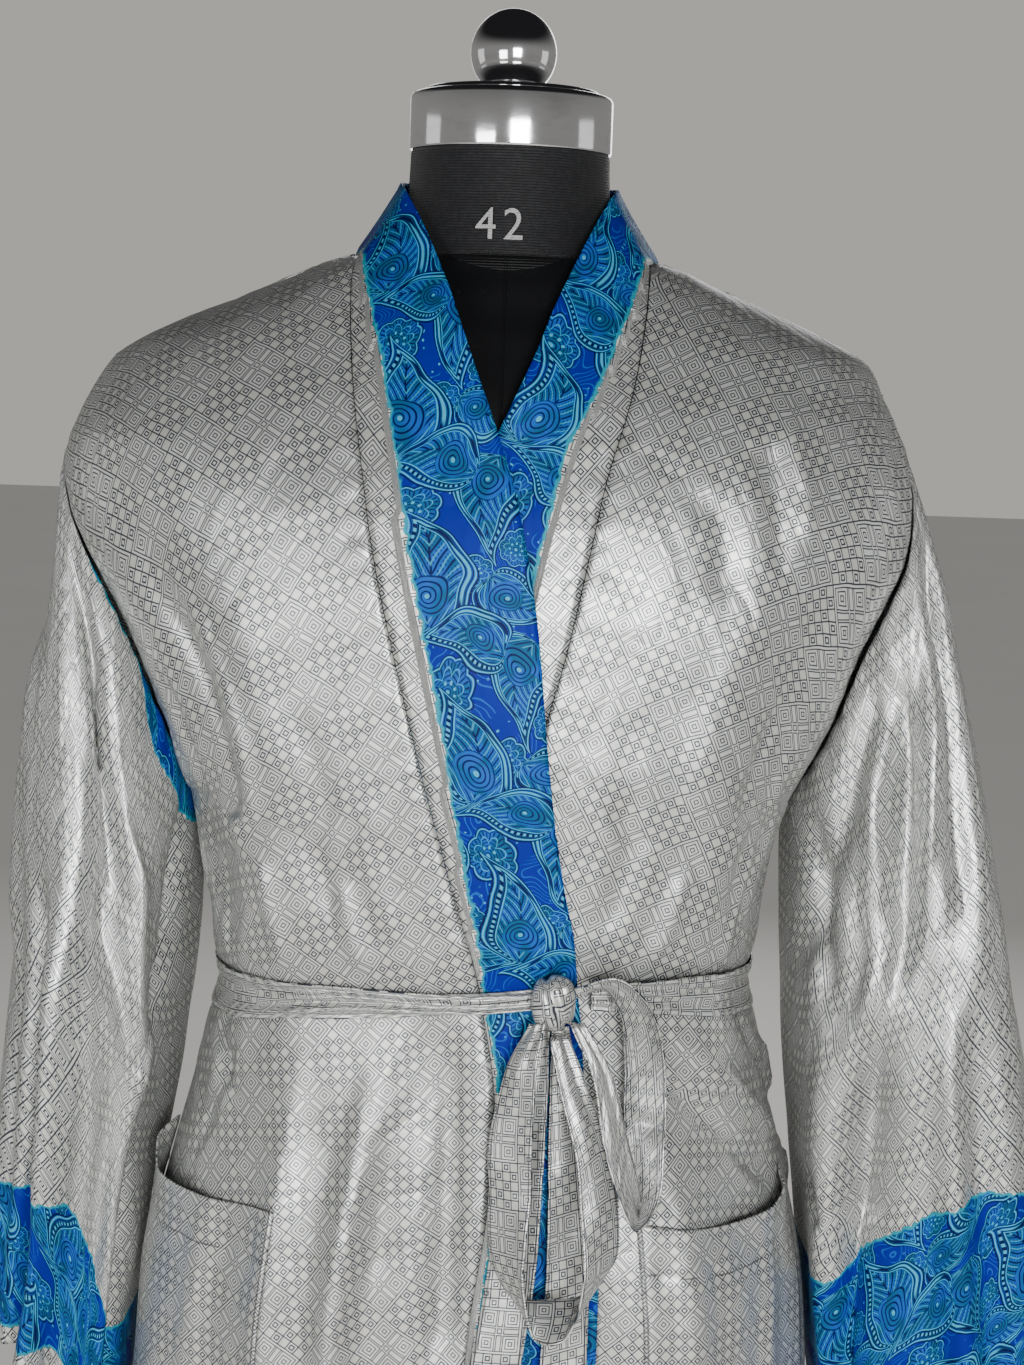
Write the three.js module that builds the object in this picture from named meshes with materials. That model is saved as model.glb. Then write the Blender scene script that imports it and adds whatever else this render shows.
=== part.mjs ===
// Long silk kimono robe worn by a limbless dress form on a weighted stand.
// Lengths are millimetres, Z is up, the front faces -Y and the wearer's left is +X.
import * as THREE from "three";

// Overall heights of the robe and its cloth.
const CLOTH_WALL = 1.5;
const SEAM_GAP = 0.4;
const NECK_POINT_Z = 1425;
const BELT_LEVEL = 966;
const OVERLAP_LIFT = 3.8;
const POCKET_LIFT = 2.6;
const BELT_LIFT = 2.3;
const SHOULDER_RIDGE_Y = 3;

// Counts of cells in the cloth grids.
const ARMHOLE_STEPS = 11;
const FRONT_COLUMNS = 12;
const BACK_COLUMNS = 20;
const SLEEVE_ROWS = 15;
const BAND_COLUMNS = 3;

// Dress form and its stand.
const TORSO_SEGMENTS = 36;
const NECK_BASE_Z = 1427;
const NECK_TOP_Z = 1489.7;
const RING_RADIUS = 62.5;
const RING_BOTTOM_Z = 1490;
const RING_TOP_Z = 1524;
const BALL_RADIUS = 26.5;
const BALL_CENTRE_Z = 1549.5;
const POLE_RADIUS = 12.5;
const TORSO_BOTTOM_Z = 700;
const BASE_RADIUS = 190;
const BASE_RIM_HEIGHT = 9;

// Dress form sections from the bottom to the neck.
const FORM_COLUMNS = ["z", "halfWidth", "front", "back", "square"];
const FORM_SECTIONS = [
  [700, 176, -138, 124, 0.05],
  [780, 185, -148, 134, 0.05],
  [840, 181, -144, 128, 0.05],
  [900, 168, -135, 112, 0.045],
  [960, 156, -127, 97, 0.04],
  [1010, 159, -129, 99, 0.04],
  [1070, 170, -138, 111, 0.045],
  [1140, 181, -145, 123, 0.05],
  [1210, 191, -146, 127, 0.05],
  [1270, 206, -138, 124, 0.045],
  [1310, 220, -126, 118, 0.04],
  [1340, 229, -113, 111, 0.03],
  [1356, 226, -104, 106, 0.025],
  [1368, 213, -97, 102, 0.02],
  [1380, 192, -90, 97, 0.015],
  [1394, 164, -81, 90, 0.01],
  [1408, 134, -73, 82, 0.005],
  [1418, 110, -67, 76, 0],
  [1427, 80, -62, 69, 0],
];

// Robe depth at the centre front and centre back.
const CENTRE_COLUMNS = ["z", "front", "back", "square"];
const CENTRE_SECTIONS = [
  [220, -186, 166, 0.04],
  [400, -180, 160, 0.04],
  [600, -172, 153, 0.05],
  [700, -167, 149, 0.05],
  [780, -161, 145, 0.055],
  [840, -155, 136, 0.055],
  [900, -147, 122, 0.05],
  [960, -143, 113, 0.045],
  [1010, -146, 116, 0.045],
  [1070, -150, 124, 0.045],
  [1140, -154, 132, 0.05],
  [1210, -154, 135, 0.05],
  [1270, -146, 131, 0.045],
  [1310, -133, 124, 0.04],
  [1342.4, -118.5, 116.5, 0.03],
  [1358.4, -108, 110, 0.025],
  [1370.4, -100.5, 105.5, 0.02],
  [1382.4, -93, 100, 0.015],
  [1396.4, -83.5, 92.5, 0.01],
  [1410.4, -75, 84.5, 0.005],
  [1420.4, -69, 78.5, 0],
  [1429.4, -64, 71.5, 0],
];

// Side seams, armholes and shoulder ridges: where each body panel ends.
// The turn is the angle in degrees through which a row bends before its edge.
const EDGE_COLUMNS = ["z", "x", "front", "back", "turn"];
const SIDE_SEAM_ROWS = [
  [220, 246, -0.2, 0.2, 90],
  [400, 239, -0.2, 0.2, 90],
  [600, 228, -0.2, 0.2, 90],
  [700, 221, -0.2, 0.2, 90],
  [780, 214, -0.2, 0.2, 90],
  [840, 203, -0.2, 0.2, 90],
  [900, 190, -0.2, 0.2, 90],
  [960, 180, -0.2, 0.2, 90],
  [1010, 179, -0.2, 0.2, 90],
  [1050, 184, -0.2, 0.2, 90],
];
const SHOULDER_RIDGE_ROWS = [
  [1383, 200.8, 2.8, 3.2, 90],
  [1396.4, 169.8, 2.8, 3.2, 90],
  [1410.4, 137.3, 2.8, 3.2, 90],
  [1420.4, 113.2, 2.8, 3.2, 90],
  [1425.4, 97, 2.8, 3.2, 90],
  [1429.4, 81.5, 2.8, 3.2, 90],
];
const ARMHOLE_ROWS_RIGHT = [
  [1086, 190, -0.3, 0.3, 90],
  [1094, 192.5, -20, 19, 80],
  [1110, 197, -36, 34, 72],
  [1141, 207, -52, 48, 66],
  [1176, 219, -61, 56, 62],
  [1213, 235, -65, 60, 60],
  [1246, 253, -60, 56, 62],
  [1272, 265, -50, 48, 66],
  [1297, 271, -33, 34, 74],
  [1312, 270, -14, 18, 84],
  [1319, 268, 2.8, 3.2, 90],
  [1345, 254, 2.8, 3.2, 90],
  [1359, 244, 2.8, 3.2, 90],
  [1370, 230, 2.8, 3.2, 90],
];
const ARMHOLE_ROWS_LEFT = [
  [1092, 194, -0.3, 0.3, 90],
  [1101, 197, -21, 20, 80],
  [1118, 203, -38, 36, 72],
  [1152, 215, -54, 50, 66],
  [1190, 226, -62, 58, 62],
  [1222, 239, -65, 60, 60],
  [1256, 251, -61, 57, 62],
  [1288, 254, -50, 48, 66],
  [1318, 250, -34, 35, 74],
  [1340, 243.5, -14, 18, 84],
  [1350, 239, 2.8, 3.2, 90],
  [1360, 235, 2.8, 3.2, 90],
  [1371, 226, 2.8, 3.2, 90],
];

// Heights of the panel rows below the armhole and on the shoulder.
const SKIRT_ROWS = [220, 310, 400, 490, 580, 660, 730, 790, 840, 885, 920, 950.5, 966, 981.5, 1004, 1038];
const SHOULDER_ROWS_RIGHT = [1348, 1370, 1389, 1405, 1417, 1425];
const SHOULDER_ROWS_LEFT = [1366, 1380, 1393, 1406, 1417, 1425];
const SEAM_ROWS_ARMHOLE = [1080, 1320];
const SEAM_ROWS_SHOULDER = [1344, 1368, 1389, 1405, 1417, 1425];

// Neckband: seam to the front panel, then the free edge, both down the front.
// Lift is the share of the band that stands clear of the chest.
const BAND_TABLE_COLUMNS = ["seamZ", "seamX", "edgeX", "edgeY", "edgeZ", "lift"];
const BAND_ROWS_RIGHT = [
  [220, -14, 70, -186, 220, 0],
  [600, -10, 74, -172, 600, 0],
  [780, -2, 76, -161, 780, 0],
  [860, 8, 74, -152, 860, 0],
  [910, 10, 66, -146, 912, 0],
  [960, 1, 58, -143, 965, 0],
  [1010, -8, 52, -146, 1018, 0],
  [1054, -18, 45, -150, 1064, 0],
  [1130, -38, 34, -154, 1142, 0],
  [1200, -56, 26, -154, 1214, 0],
  [1260, -70, 14, -150, 1277, 0.1],
  [1300, -77, -1, -139, 1325, 0.45],
  [1341, -84, -13, -124, 1356, 0.8],
  [1362, -87, -25, -108, 1388, 1],
  [1380, -89, -32, -93, 1406, 1],
  [1396, -90.5, -39, -77, 1421, 1],
  [1410, -91, -50, -56, 1443, 1],
  [1425, -91, -62, -30, 1463, 1],
];
const BAND_ROWS_LEFT = [
  [220, 14, -70, -186, 220, 0],
  [600, 6, -76, -172, 600, 0],
  [780, -6, -84, -161, 780, 0],
  [860, -14, -88, -152, 860, 0],
  [910, -16, -84, -146, 912, 0],
  [960, -10, -76, -143, 965, 0],
  [1010, -4, -70, -146, 1018, 0],
  [1054, 5, -60, -150, 1064, 0],
  [1130, 24, -50, -154, 1142, 0],
  [1200, 42, -36, -154, 1214, 0],
  [1260, 54, -20, -150, 1277, 0.05],
  [1300, 62, -3, -138, 1320, 0.35],
  [1341, 74, 9, -126, 1347, 0.8],
  [1362, 79, 20, -111, 1372, 1],
  [1380, 82, 29, -96, 1396, 1],
  [1396, 84.5, 38, -79, 1416, 1],
  [1410, 86, 50, -57, 1441, 1],
  [1425, 88, 62, -30, 1463, 1],
];
const BAND_NECK_STEPS = 8;
const BAND_NECK_SIDE = { x: 67.5, z: 1470 };
const BAND_NECK_BACK = { y: 74, z: 1476 };
const BACK_NECK_Z = 1414;

// Main folds of the body: ridges have a positive depth, troughs a negative one.
// The angle runs from the centre front, positive towards the wearer's left.
const BODY_FOLD_COLUMNS = ["topAngle", "topZ", "bottomAngle", "bottomZ", "spread", "depth"];
const BODY_FOLDS = [
  [-8, 985, -14, 120, 9, -8],
  [-24, 975, -30, 120, 9, 7],
  [-42, 960, -46, 120, 9, -7],
  [-66, 940, -70, 120, 12, 8],
  [34, 965, 52, 800, 8, -5],
  [24, 960, 30, 120, 9, 7],
  [56, 900, 48, 120, 10, -7],
  [74, 940, 74, 120, 10, 7],
  [100, 950, 104, 120, 10, -9],
  [122, 950, 126, 120, 10, 9],
  [146, 950, 150, 120, 10, -8],
  [170, 950, 172, 120, 10, 8],
  [-100, 950, -104, 120, 10, -9],
  [-122, 950, -128, 120, 10, 9],
  [-148, 950, -152, 120, 10, -7],
  [-62, 1290, -58, 985, 9, -5],
  [-46, 1260, -38, 985, 9, 4],
  [64, 1280, 58, 985, 9, -5],
  [44, 1250, 40, 990, 8, 4],
  [122, 1280, 118, 985, 10, -5],
  [148, 1260, 146, 985, 10, 5],
  [-122, 1280, -118, 985, 10, -5],
  [-148, 1260, -146, 985, 10, 5],
];

// Sleeves: eight rails from the armhole to the cuff, from the top through the front.
// Start and end are the rail's tangents, and sleeves are described on the +X side.
const RAIL_COLUMNS = [
  "angle", "hemX", "hemY", "hemZ", "startX", "startY", "startZ", "endX", "endY", "endZ",
];
const RAILS_RIGHT = [
  [0, 334, -16, 726, 30, 0, -330, 60, 0, -580],
  [45, 319, -78, 724, 30, -110, -330, 60, 10, -570],
  [90, 274, -100, 722, 20, -170, -370, 70, 10, -500],
  [135, 244, -88, 630, -20, -140, -400, 62, 20, -500],
  [180, 238, -18, 624, -45, 0, -330, 46, 0, -500],
  [225, 250, 54, 660, 0, 110, -360, 40, -10, -480],
  [270, 278, 80, 704, 40, 150, -370, 70, -10, -540],
  [315, 321, 50, 722, 40, 90, -330, 60, -10, -570],
];
const RAILS_LEFT = [
  [0, 408, -14, 730, 130, 0, -360, 130, 0, -540],
  [45, 391, -78, 721, 130, -120, -360, 120, 10, -540],
  [90, 318, -104, 707, 90, -190, -380, 100, 10, -500],
  [135, 249, -80, 652, 10, -150, -390, 90, 20, -480],
  [180, 236, -12, 644, -20, 0, -330, 60, 0, -480],
  [225, 258, 58, 662, 20, 110, -360, 80, -10, -480],
  [270, 322, 80, 700, 90, 150, -370, 110, -10, -520],
  [315, 386, 54, 720, 130, 90, -350, 120, -10, -540],
];
const SLEEVE_FOLD_COLUMNS = ["topAngle", "topShare", "bottomAngle", "bottomShare", "spread", "depth"];
const SLEEVE_FOLDS_RIGHT = [
  [70, 0.05, 112, 0.5, 13, -8],
  [150, 0.05, 150, 0.7, 14, -6],
  [118, 0.45, 116, 1.4, 12, -14],
  [84, 0.3, 82, 1.4, 14, 8],
  [44, 0.4, 52, 1.4, 13, -9],
  [210, 0.1, 236, 1.4, 16, -10],
  [262, 0.1, 268, 1.4, 14, 7],
  [300, 0.2, 306, 1.4, 14, -8],
];
const SLEEVE_FOLDS_LEFT = [
  [62, 0.04, 128, 0.45, 12, -8],
  [100, 0.04, 158, 0.32, 12, -7],
  [70, 0.3, 66, 1.4, 14, 8],
  [104, 0.4, 108, 1.4, 13, -11],
  [138, 0.35, 136, 1.4, 12, 7],
  [34, 0.4, 36, 1.4, 14, -7],
  [214, 0.1, 232, 1.4, 16, -10],
  [262, 0.1, 268, 1.4, 14, 7],
  [304, 0.2, 306, 1.4, 14, -8],
];

// Belt round the waist: angle from the centre front, height and width of the strip.
const BELT_COLUMNS = ["angle", "z", "width", "pinch"];
const BELT_ROWS = [
  [-342, 995, 15, 4],
  [-325, 992, 24, 5],
  [-300, 981, 29, 7],
  [-270, 968, 31, 8],
  [-225, 964, 31, 8],
  [-180, 966, 31, 8],
  [-135, 962, 31, 8],
  [-90, 960, 31, 8],
  [-60, 970, 31, 7],
  [-30, 983, 22, 5],
  [0, 990, 13, 4],
  [12, 995, 12, 4],
];
const BELT_STEPS = 64;
const KNOT = { x: 43, stand: 12.6, halfWidth: 13, halfDepth: 10, halfHeight: 17 };

// Ribbon pieces of the bow. Stand is the distance in front of the robe.
const RIBBON_COLUMNS = ["t", "x", "z", "stand", "acrossX", "acrossY", "acrossZ", "width"];
const LARGE_LOOP_ROWS = [
  [0, 33.3, 984, 15, 0.7, -0.5, 0.3, 12],
  [0.12, 21, 955, 22, 0.85, -0.5, 0.1, 22],
  [0.28, 15, 900, 20, 0.9, -0.45, 0, 27],
  [0.42, 18, 842, 18, 0.85, -0.5, -0.1, 28],
  [0.52, 34, 808, 24, 0.45, -0.6, -0.65, 27],
  [0.62, 58, 812, 34, -0.2, -0.75, -0.65, 27],
  [0.74, 76, 852, 36, -0.75, -0.6, -0.1, 27],
  [0.86, 70, 905, 33, -0.85, -0.5, 0.1, 24],
  [0.94, 56, 950, 28, -0.8, -0.5, 0.1, 18],
  [1, 47, 977, 20.5, -0.7, -0.5, 0.1, 12],
];
const SMALL_LOOP_ROWS = [
  [0, 55.4, 1003, 12.5, -0.1, -0.7, 0.7, 11],
  [0.16, 74, 1011, 19, 0.3, -0.7, 0.6, 19],
  [0.32, 92, 990, 20, 0.8, -0.5, 0.3, 23],
  [0.5, 103, 945, 19, 0.85, -0.5, 0, 24],
  [0.66, 104, 892, 22, 0.75, -0.6, -0.1, 22],
  [0.76, 97, 872, 29, -0.1, -0.9, -0.4, 20],
  [0.86, 86, 905, 33, -0.75, -0.6, 0, 19],
  [0.95, 72, 960, 29, -0.75, -0.6, 0.2, 14],
  [1, 57.2, 986, 18, -0.7, -0.6, 0.3, 10],
];
const RIGHT_TAIL_ROWS = [
  [0, 36, 976.4, 9, 0.8, -0.3, 0.2, 11],
  [0.2, 30, 925, 9, 0.95, -0.3, 0, 24],
  [0.5, 24, 835, 8, 0.95, -0.25, 0, 29],
  [0.8, 14, 745, 8, 0.97, -0.2, 0.05, 31],
  [1, 12, 668, 8, 0.98, -0.15, 0.05, 31],
];
const LEFT_TAIL_ROWS = [
  [0, 47.5, 978, 8.5, 0.8, 0.2, 0.1, 10],
  [0.2, 54, 915, 7, 0.93, 0.3, 0, 23],
  [0.5, 58, 825, 8, 0.95, 0.25, 0, 27],
  [0.8, 56, 735, 8, 0.95, 0.2, 0, 30],
  [1, 58, 640, 8, 0.96, 0.15, 0, 30],
];
const RIBBON_STEPS = 30;
const TAIL_STEPS = 14;

// Patch pockets on the front panels: angles of the inner and outer sides.
const POCKET_TOP_Z = 852;
const POCKET_BOTTOM_Z = 672;
const POCKET_RIGHT = { innerAngle: -30, outerAngle: -74, gape: 11, rise: 20, sag: 4 };
const POCKET_LEFT = { innerAngle: 24, outerAngle: 69, gape: 9, rise: 6, sag: 9 };
const POCKET_COLUMNS = 10;
const POCKET_ROWS = 8;

const DEGREES = Math.PI / 180;

function smoothStep(low, high, value) {
  const share = Math.min(1, Math.max(0, (value - low) / (high - low)));
  return share * share * (3 - 2 * share);
}

function mix(first, second, share) {
  return first + (second - first) * share;
}

function wrapAngle(angle) {
  return ((angle + 540) % 360) - 180;
}

// Smooth curve through points that never swings past its neighbours.
function smoothCurve(keys, values) {
  const last = keys.length - 1;
  const slopes = [];
  for (let i = 0; i < last; i += 1) {
    slopes.push((values[i + 1] - values[i]) / (keys[i + 1] - keys[i]));
  }
  const tangents = [slopes[0]];
  for (let i = 1; i < last; i += 1) {
    const product = slopes[i - 1] * slopes[i];
    const harmonic = (2 * product) / (slopes[i - 1] + slopes[i]);
    tangents.push(product <= 0 ? 0 : harmonic);
  }
  tangents.push(slopes[last - 1]);
  return (key) => {
    let i = 0;
    while (i < last - 1 && key > keys[i + 1]) {
      i += 1;
    }
    const span = keys[i + 1] - keys[i];
    const s = Math.min(1, Math.max(0, (key - keys[i]) / span));
    const start = values[i] * (1 + 2 * s) * (1 - s) * (1 - s);
    const end = values[i + 1] * s * s * (3 - 2 * s);
    const lean = s * (1 - s) * (1 - s) * tangents[i] - s * s * (1 - s) * tangents[i + 1];
    return start + end + span * lean;
  };
}

// One smooth curve for each named column, over the first column.
function makeTable(columns, rows) {
  const keys = rows.map((row) => row[0]);
  const table = {};
  columns.forEach((name, index) => {
    const values = rows.map((row) => row[index]);
    table[name] = smoothCurve(keys, values);
  });
  return table;
}

// The same for angles that close after a full turn.
function makeRoundTable(columns, rows) {
  const before = rows.map((row) => [row[0] - 360, ...row.slice(1)]);
  const after = rows.map((row) => [row[0] + 360, ...row.slice(1)]);
  return makeTable(columns, [...before, ...rows, ...after]);
}

function namedRows(columns, rows) {
  return rows.map((row) => Object.fromEntries(columns.map((name, index) => [name, row[index]])));
}

const form = makeTable(FORM_COLUMNS, FORM_SECTIONS);
const centre = makeTable(CENTRE_COLUMNS, CENTRE_SECTIONS);
const edgeRight = makeTable(EDGE_COLUMNS, [...SIDE_SEAM_ROWS, ...ARMHOLE_ROWS_RIGHT, ...SHOULDER_RIDGE_ROWS]);
const edgeLeft = makeTable(EDGE_COLUMNS, [...SIDE_SEAM_ROWS, ...ARMHOLE_ROWS_LEFT, ...SHOULDER_RIDGE_ROWS]);
const bodyFolds = namedRows(BODY_FOLD_COLUMNS, BODY_FOLDS);
const belt = makeTable(BELT_COLUMNS, BELT_ROWS);

const SIDES = {
  right: {
    sign: -1,
    edge: edgeRight,
    armholeBottom: ARMHOLE_ROWS_RIGHT[0][0],
    armholeTop: ARMHOLE_ROWS_RIGHT[10][0],
    shoulderRows: SHOULDER_ROWS_RIGHT,
    band: makeTable(BAND_TABLE_COLUMNS, BAND_ROWS_RIGHT),
    rails: makeRoundTable(RAIL_COLUMNS, RAILS_RIGHT),
    sleeveFolds: namedRows(SLEEVE_FOLD_COLUMNS, SLEEVE_FOLDS_RIGHT),
  },
  left: {
    sign: 1,
    edge: edgeLeft,
    armholeBottom: ARMHOLE_ROWS_LEFT[0][0],
    armholeTop: ARMHOLE_ROWS_LEFT[10][0],
    shoulderRows: SHOULDER_ROWS_LEFT,
    band: makeTable(BAND_TABLE_COLUMNS, BAND_ROWS_LEFT),
    rails: makeRoundTable(RAIL_COLUMNS, RAILS_LEFT),
    sleeveFolds: namedRows(SLEEVE_FOLD_COLUMNS, SLEEVE_FOLDS_LEFT),
  },
};

// Squared-off ellipse: the shares of the half width and of the depth at an angle.
function widthShare(angle, square) {
  return (Math.sin(angle) + square * Math.sin(3 * angle)) / (1 - square);
}

function depthShare(angle, square) {
  return (Math.cos(angle) - square * Math.cos(3 * angle)) / (1 - square);
}

// Undisturbed robe surface at an angle in degrees and a height.
function bodyBase(angle, z) {
  const side = angle < 0 ? SIDES.right : SIDES.left;
  const around = Math.abs(angle);
  const onFront = around <= 90;
  const turn = side.edge.turn(z);
  const square = centre.square(z);
  const bend = ((onFront ? around : 180 - around) / 90) * turn * DEGREES;
  const end = turn * DEGREES;
  const edgeY = onFront ? side.edge.front(z) : side.edge.back(z);
  const centreY = onFront ? centre.front(z) : centre.back(z);
  const endDepth = depthShare(end, square);
  const across = widthShare(bend, square) / widthShare(end, square);
  const depth = (depthShare(bend, square) - endDepth) / (1 - endDepth);
  return new THREE.Vector3(side.sign * side.edge.x(z) * across, mix(edgeY, centreY, depth), z);
}

// Normal of a body surface. In the armholes the front and the back end apart.
function surfaceNormal(surface, angle, z) {
  const step = 0.6;
  let ahead = angle + step;
  let behind = angle - step;
  const side = angle < 0 ? SIDES.right : SIDES.left;
  if (side.edge.turn(z) < 89.9) {
    const onFront = Math.abs(angle) <= 90;
    const sideways = Math.sign(angle) * (onFront ? 90 : 90.001);
    const stopsAhead = onFront === angle > 0;
    ahead = stopsAhead ? Math.min(ahead, Math.max(sideways, angle)) : ahead;
    behind = stopsAhead ? behind : Math.max(behind, Math.min(sideways, angle));
  }
  const across = surface(wrapAngle(ahead), z).sub(surface(wrapAngle(behind), z));
  const up = surface(angle, z + 1).sub(surface(angle, z - 1));
  return across.cross(up).normalize();
}

function foldProfile(fold, angle, level, levelTop, levelBottom) {
  const along = (level - levelTop) / (levelBottom - levelTop);
  if (along <= 0 || along >= 1) {
    return 0;
  }
  const middle = mix(fold.topAngle, fold.bottomAngle, along);
  const away = (((angle - middle + 540) % 360) - 180) / fold.spread;
  const fade = smoothStep(0, 0.22, along) * (1 - smoothStep(0.8, 1, along));
  return fold.depth * fade * Math.exp(-away * away);
}

// Angle along the belt, which starts and ends beside the knot.
function beltAngle(angle) {
  return angle > 14 ? angle - 360 : angle;
}

function bodyRelief(angle, level) {
  const away = (level - BELT_LEVEL) / 22;
  let relief = -belt.pinch(beltAngle(angle)) * Math.exp(-away * away);
  for (const fold of bodyFolds) {
    relief += foldProfile(fold, angle, level, fold.topZ, fold.bottomZ);
  }
  return relief;
}

// Levels are heights that rise and fall with the belt near the waist.
function heightOfLevel(angle, level) {
  const away = (level - BELT_LEVEL) / 70;
  return level + (belt.z(beltAngle(angle)) - BELT_LEVEL) * Math.exp(-away * away);
}

// Lift of the upper front over the lower front where the two overlap.
const flat = () => 0;

function overlapLift(angle) {
  return OVERLAP_LIFT * smoothStep(-66, -38, angle) * (1 - smoothStep(44, 60, angle));
}

function bodyPoint(angle, level, lift) {
  const z = heightOfLevel(angle, level);
  const normal = surfaceNormal(bodyBase, angle, z);
  return bodyBase(angle, z).addScaledVector(normal, bodyRelief(angle, level) + lift(angle));
}

function bodyNormal(angle, level, lift) {
  return surfaceNormal((around, height) => bodyPoint(around, height, lift), angle, level);
}

function angleAtX(x, z) {
  let low = -90;
  let high = 90;
  for (let i = 0; i < 40; i += 1) {
    const middle = (low + high) / 2;
    if (bodyBase(middle, z).x < x) {
      low = middle;
    } else {
      high = middle;
    }
  }
  return (low + high) / 2;
}

// Closed wall of cloth: the outer points, and the same points moved inwards
// along the normals that are given, or else along those of the grid.
function clothSolid(points, options = {}) {
  const rows = points.length;
  const columns = points[0].length;
  const closed = options.closed ?? false;
  const outward = options.flip ? -1 : 1;
  const inner = points.map((row, i) =>
    row.map((point, j) => {
      const nextColumn = closed ? (j + 1) % columns : Math.min(columns - 1, j + 1);
      const lastColumn = closed ? (j + columns - 1) % columns : Math.max(0, j - 1);
      const across = row[nextColumn].clone().sub(row[lastColumn]);
      const along = points[Math.min(rows - 1, i + 1)][j].clone().sub(points[Math.max(0, i - 1)][j]);
      const given = options.normals?.[i]?.[j];
      const normal = given ?? across.cross(along).normalize().multiplyScalar(outward);
      return point.clone().addScaledVector(normal, -CLOTH_WALL);
    })
  );
  const positions = [];
  const quad = (a, b, c, d) => {
    const corners = options.flip ? [a, c, b, a, d, c] : [a, b, c, a, c, d];
    corners.forEach((corner) => positions.push(corner.x, corner.y, corner.z));
  };
  const lastCell = closed ? columns : columns - 1;
  for (let i = 0; i < rows - 1; i += 1) {
    for (let j = 0; j < lastCell; j += 1) {
      const next = (j + 1) % columns;
      quad(points[i][j], points[i][next], points[i + 1][next], points[i + 1][j]);
      quad(inner[i][j], inner[i + 1][j], inner[i + 1][next], inner[i][next]);
    }
  }
  for (let j = 0; j < lastCell; j += 1) {
    const next = (j + 1) % columns;
    const end = rows - 1;
    quad(points[0][j], inner[0][j], inner[0][next], points[0][next]);
    quad(points[end][next], inner[end][next], inner[end][j], points[end][j]);
  }
  if (!closed) {
    for (let i = 0; i < rows - 1; i += 1) {
      const end = columns - 1;
      quad(points[i + 1][0], inner[i + 1][0], inner[i][0], points[i][0]);
      quad(points[i][end], inner[i][end], inner[i + 1][end], points[i + 1][end]);
    }
  }
  const geometry = new THREE.BufferGeometry();
  geometry.setAttribute("position", new THREE.Float32BufferAttribute(positions, 3));
  geometry.computeVertexNormals();
  return geometry;
}

// Heights of a panel's rows at its outer edge and at its seam to the neckband.
function edgeRowHeights(side) {
  const armhole = [];
  for (let i = 0; i <= ARMHOLE_STEPS; i += 1) {
    const share = (1 - Math.cos((Math.PI * i) / ARMHOLE_STEPS)) / 2;
    armhole.push(mix(side.armholeBottom, side.armholeTop, share));
  }
  return [...SKIRT_ROWS, ...armhole, ...side.shoulderRows];
}

function seamRowHeights() {
  const armhole = [];
  for (let i = 0; i <= ARMHOLE_STEPS; i += 1) {
    armhole.push(mix(SEAM_ROWS_ARMHOLE[0], SEAM_ROWS_ARMHOLE[1], i / ARMHOLE_STEPS));
  }
  return [...SKIRT_ROWS, ...armhole, ...SEAM_ROWS_SHOULDER];
}

// Part of the body surface, from a grid of angles and levels.
function bodySolid(places, lift, flip) {
  const points = places.map((row) => row.map((place) => bodyPoint(place.angle, place.level, lift)));
  const normals = places.map((row) => row.map((place) => bodyNormal(place.angle, place.level, lift)));
  return clothSolid(points, { normals, flip });
}

// Front panel from the neckband seam to the side seam, armhole and shoulder.
function frontPanel(side, lift) {
  const edgeHeights = edgeRowHeights(side);
  const places = seamRowHeights().map((seamZ, i) => {
    const seamX = side.band.seamX(seamZ) + side.sign * SEAM_GAP;
    const seamAngle = angleAtX(seamX, seamZ);
    const row = [];
    for (let j = 0; j <= FRONT_COLUMNS; j += 1) {
      const share = j / FRONT_COLUMNS;
      row.push({ angle: mix(seamAngle, side.sign * 90, share), level: mix(seamZ, edgeHeights[i], share) });
    }
    return row;
  });
  return bodySolid(places, lift, side.sign < 0);
}

// Height of the back neckline, lowest at the centre back.
function backNeckHeight(share) {
  return mix(BACK_NECK_Z, NECK_POINT_Z, smoothStep(0.1, 1, Math.abs(share)));
}

// Back panel from one side seam to the other, with the neckline scooped out.
function backPanel() {
  const rightHeights = edgeRowHeights(SIDES.right);
  const leftHeights = edgeRowHeights(SIDES.left);
  const places = seamRowHeights().map((seamZ, i) => {
    const row = [];
    for (let j = 0; j <= BACK_COLUMNS; j += 1) {
      const share = (2 * j) / BACK_COLUMNS - 1;
      const edgeZ = share < 0 ? leftHeights[i] : rightHeights[i];
      const neckDrop = (backNeckHeight(share) - NECK_POINT_Z) * smoothStep(1300, NECK_POINT_Z, seamZ);
      const angle = share < 0 ? 180 + share * 89.999 : -180 + share * 89.999;
      row.push({ angle: share === 0 ? 180 : angle, level: mix(seamZ, edgeZ, Math.abs(share)) + neckDrop });
    }
    return row;
  });
  return bodySolid(places, flat, false);
}

// Neckband strip from the hem up the front and round to the centre back.
function neckband(side, lift) {
  const rows = seamRowHeights().map((seamZ) => {
    const clear = side.band.lift(seamZ);
    const seamX = side.band.seamX(seamZ);
    const seam = bodyPoint(angleAtX(seamX, seamZ), seamZ, lift);
    const free = new THREE.Vector3(side.band.edgeX(seamZ), side.band.edgeY(seamZ), side.band.edgeZ(seamZ));
    const row = [];
    for (let j = 0; j <= BAND_COLUMNS; j += 1) {
      const share = j / BAND_COLUMNS;
      const x = mix(seamX, side.band.edgeX(seamZ), share);
      const z = Math.min(NECK_POINT_Z, mix(seamZ, side.band.edgeZ(seamZ), share));
      const lying = bodyPoint(angleAtX(x, z), z, lift);
      row.push(lying.lerp(seam.clone().lerp(free, share), clear));
    }
    return row;
  });
  for (let i = 1; i <= BAND_NECK_STEPS; i += 1) {
    rows.push(neckRow(side, i / BAND_NECK_STEPS));
  }
  return clothSolid(rows, { flip: side.sign > 0 });
}

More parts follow.
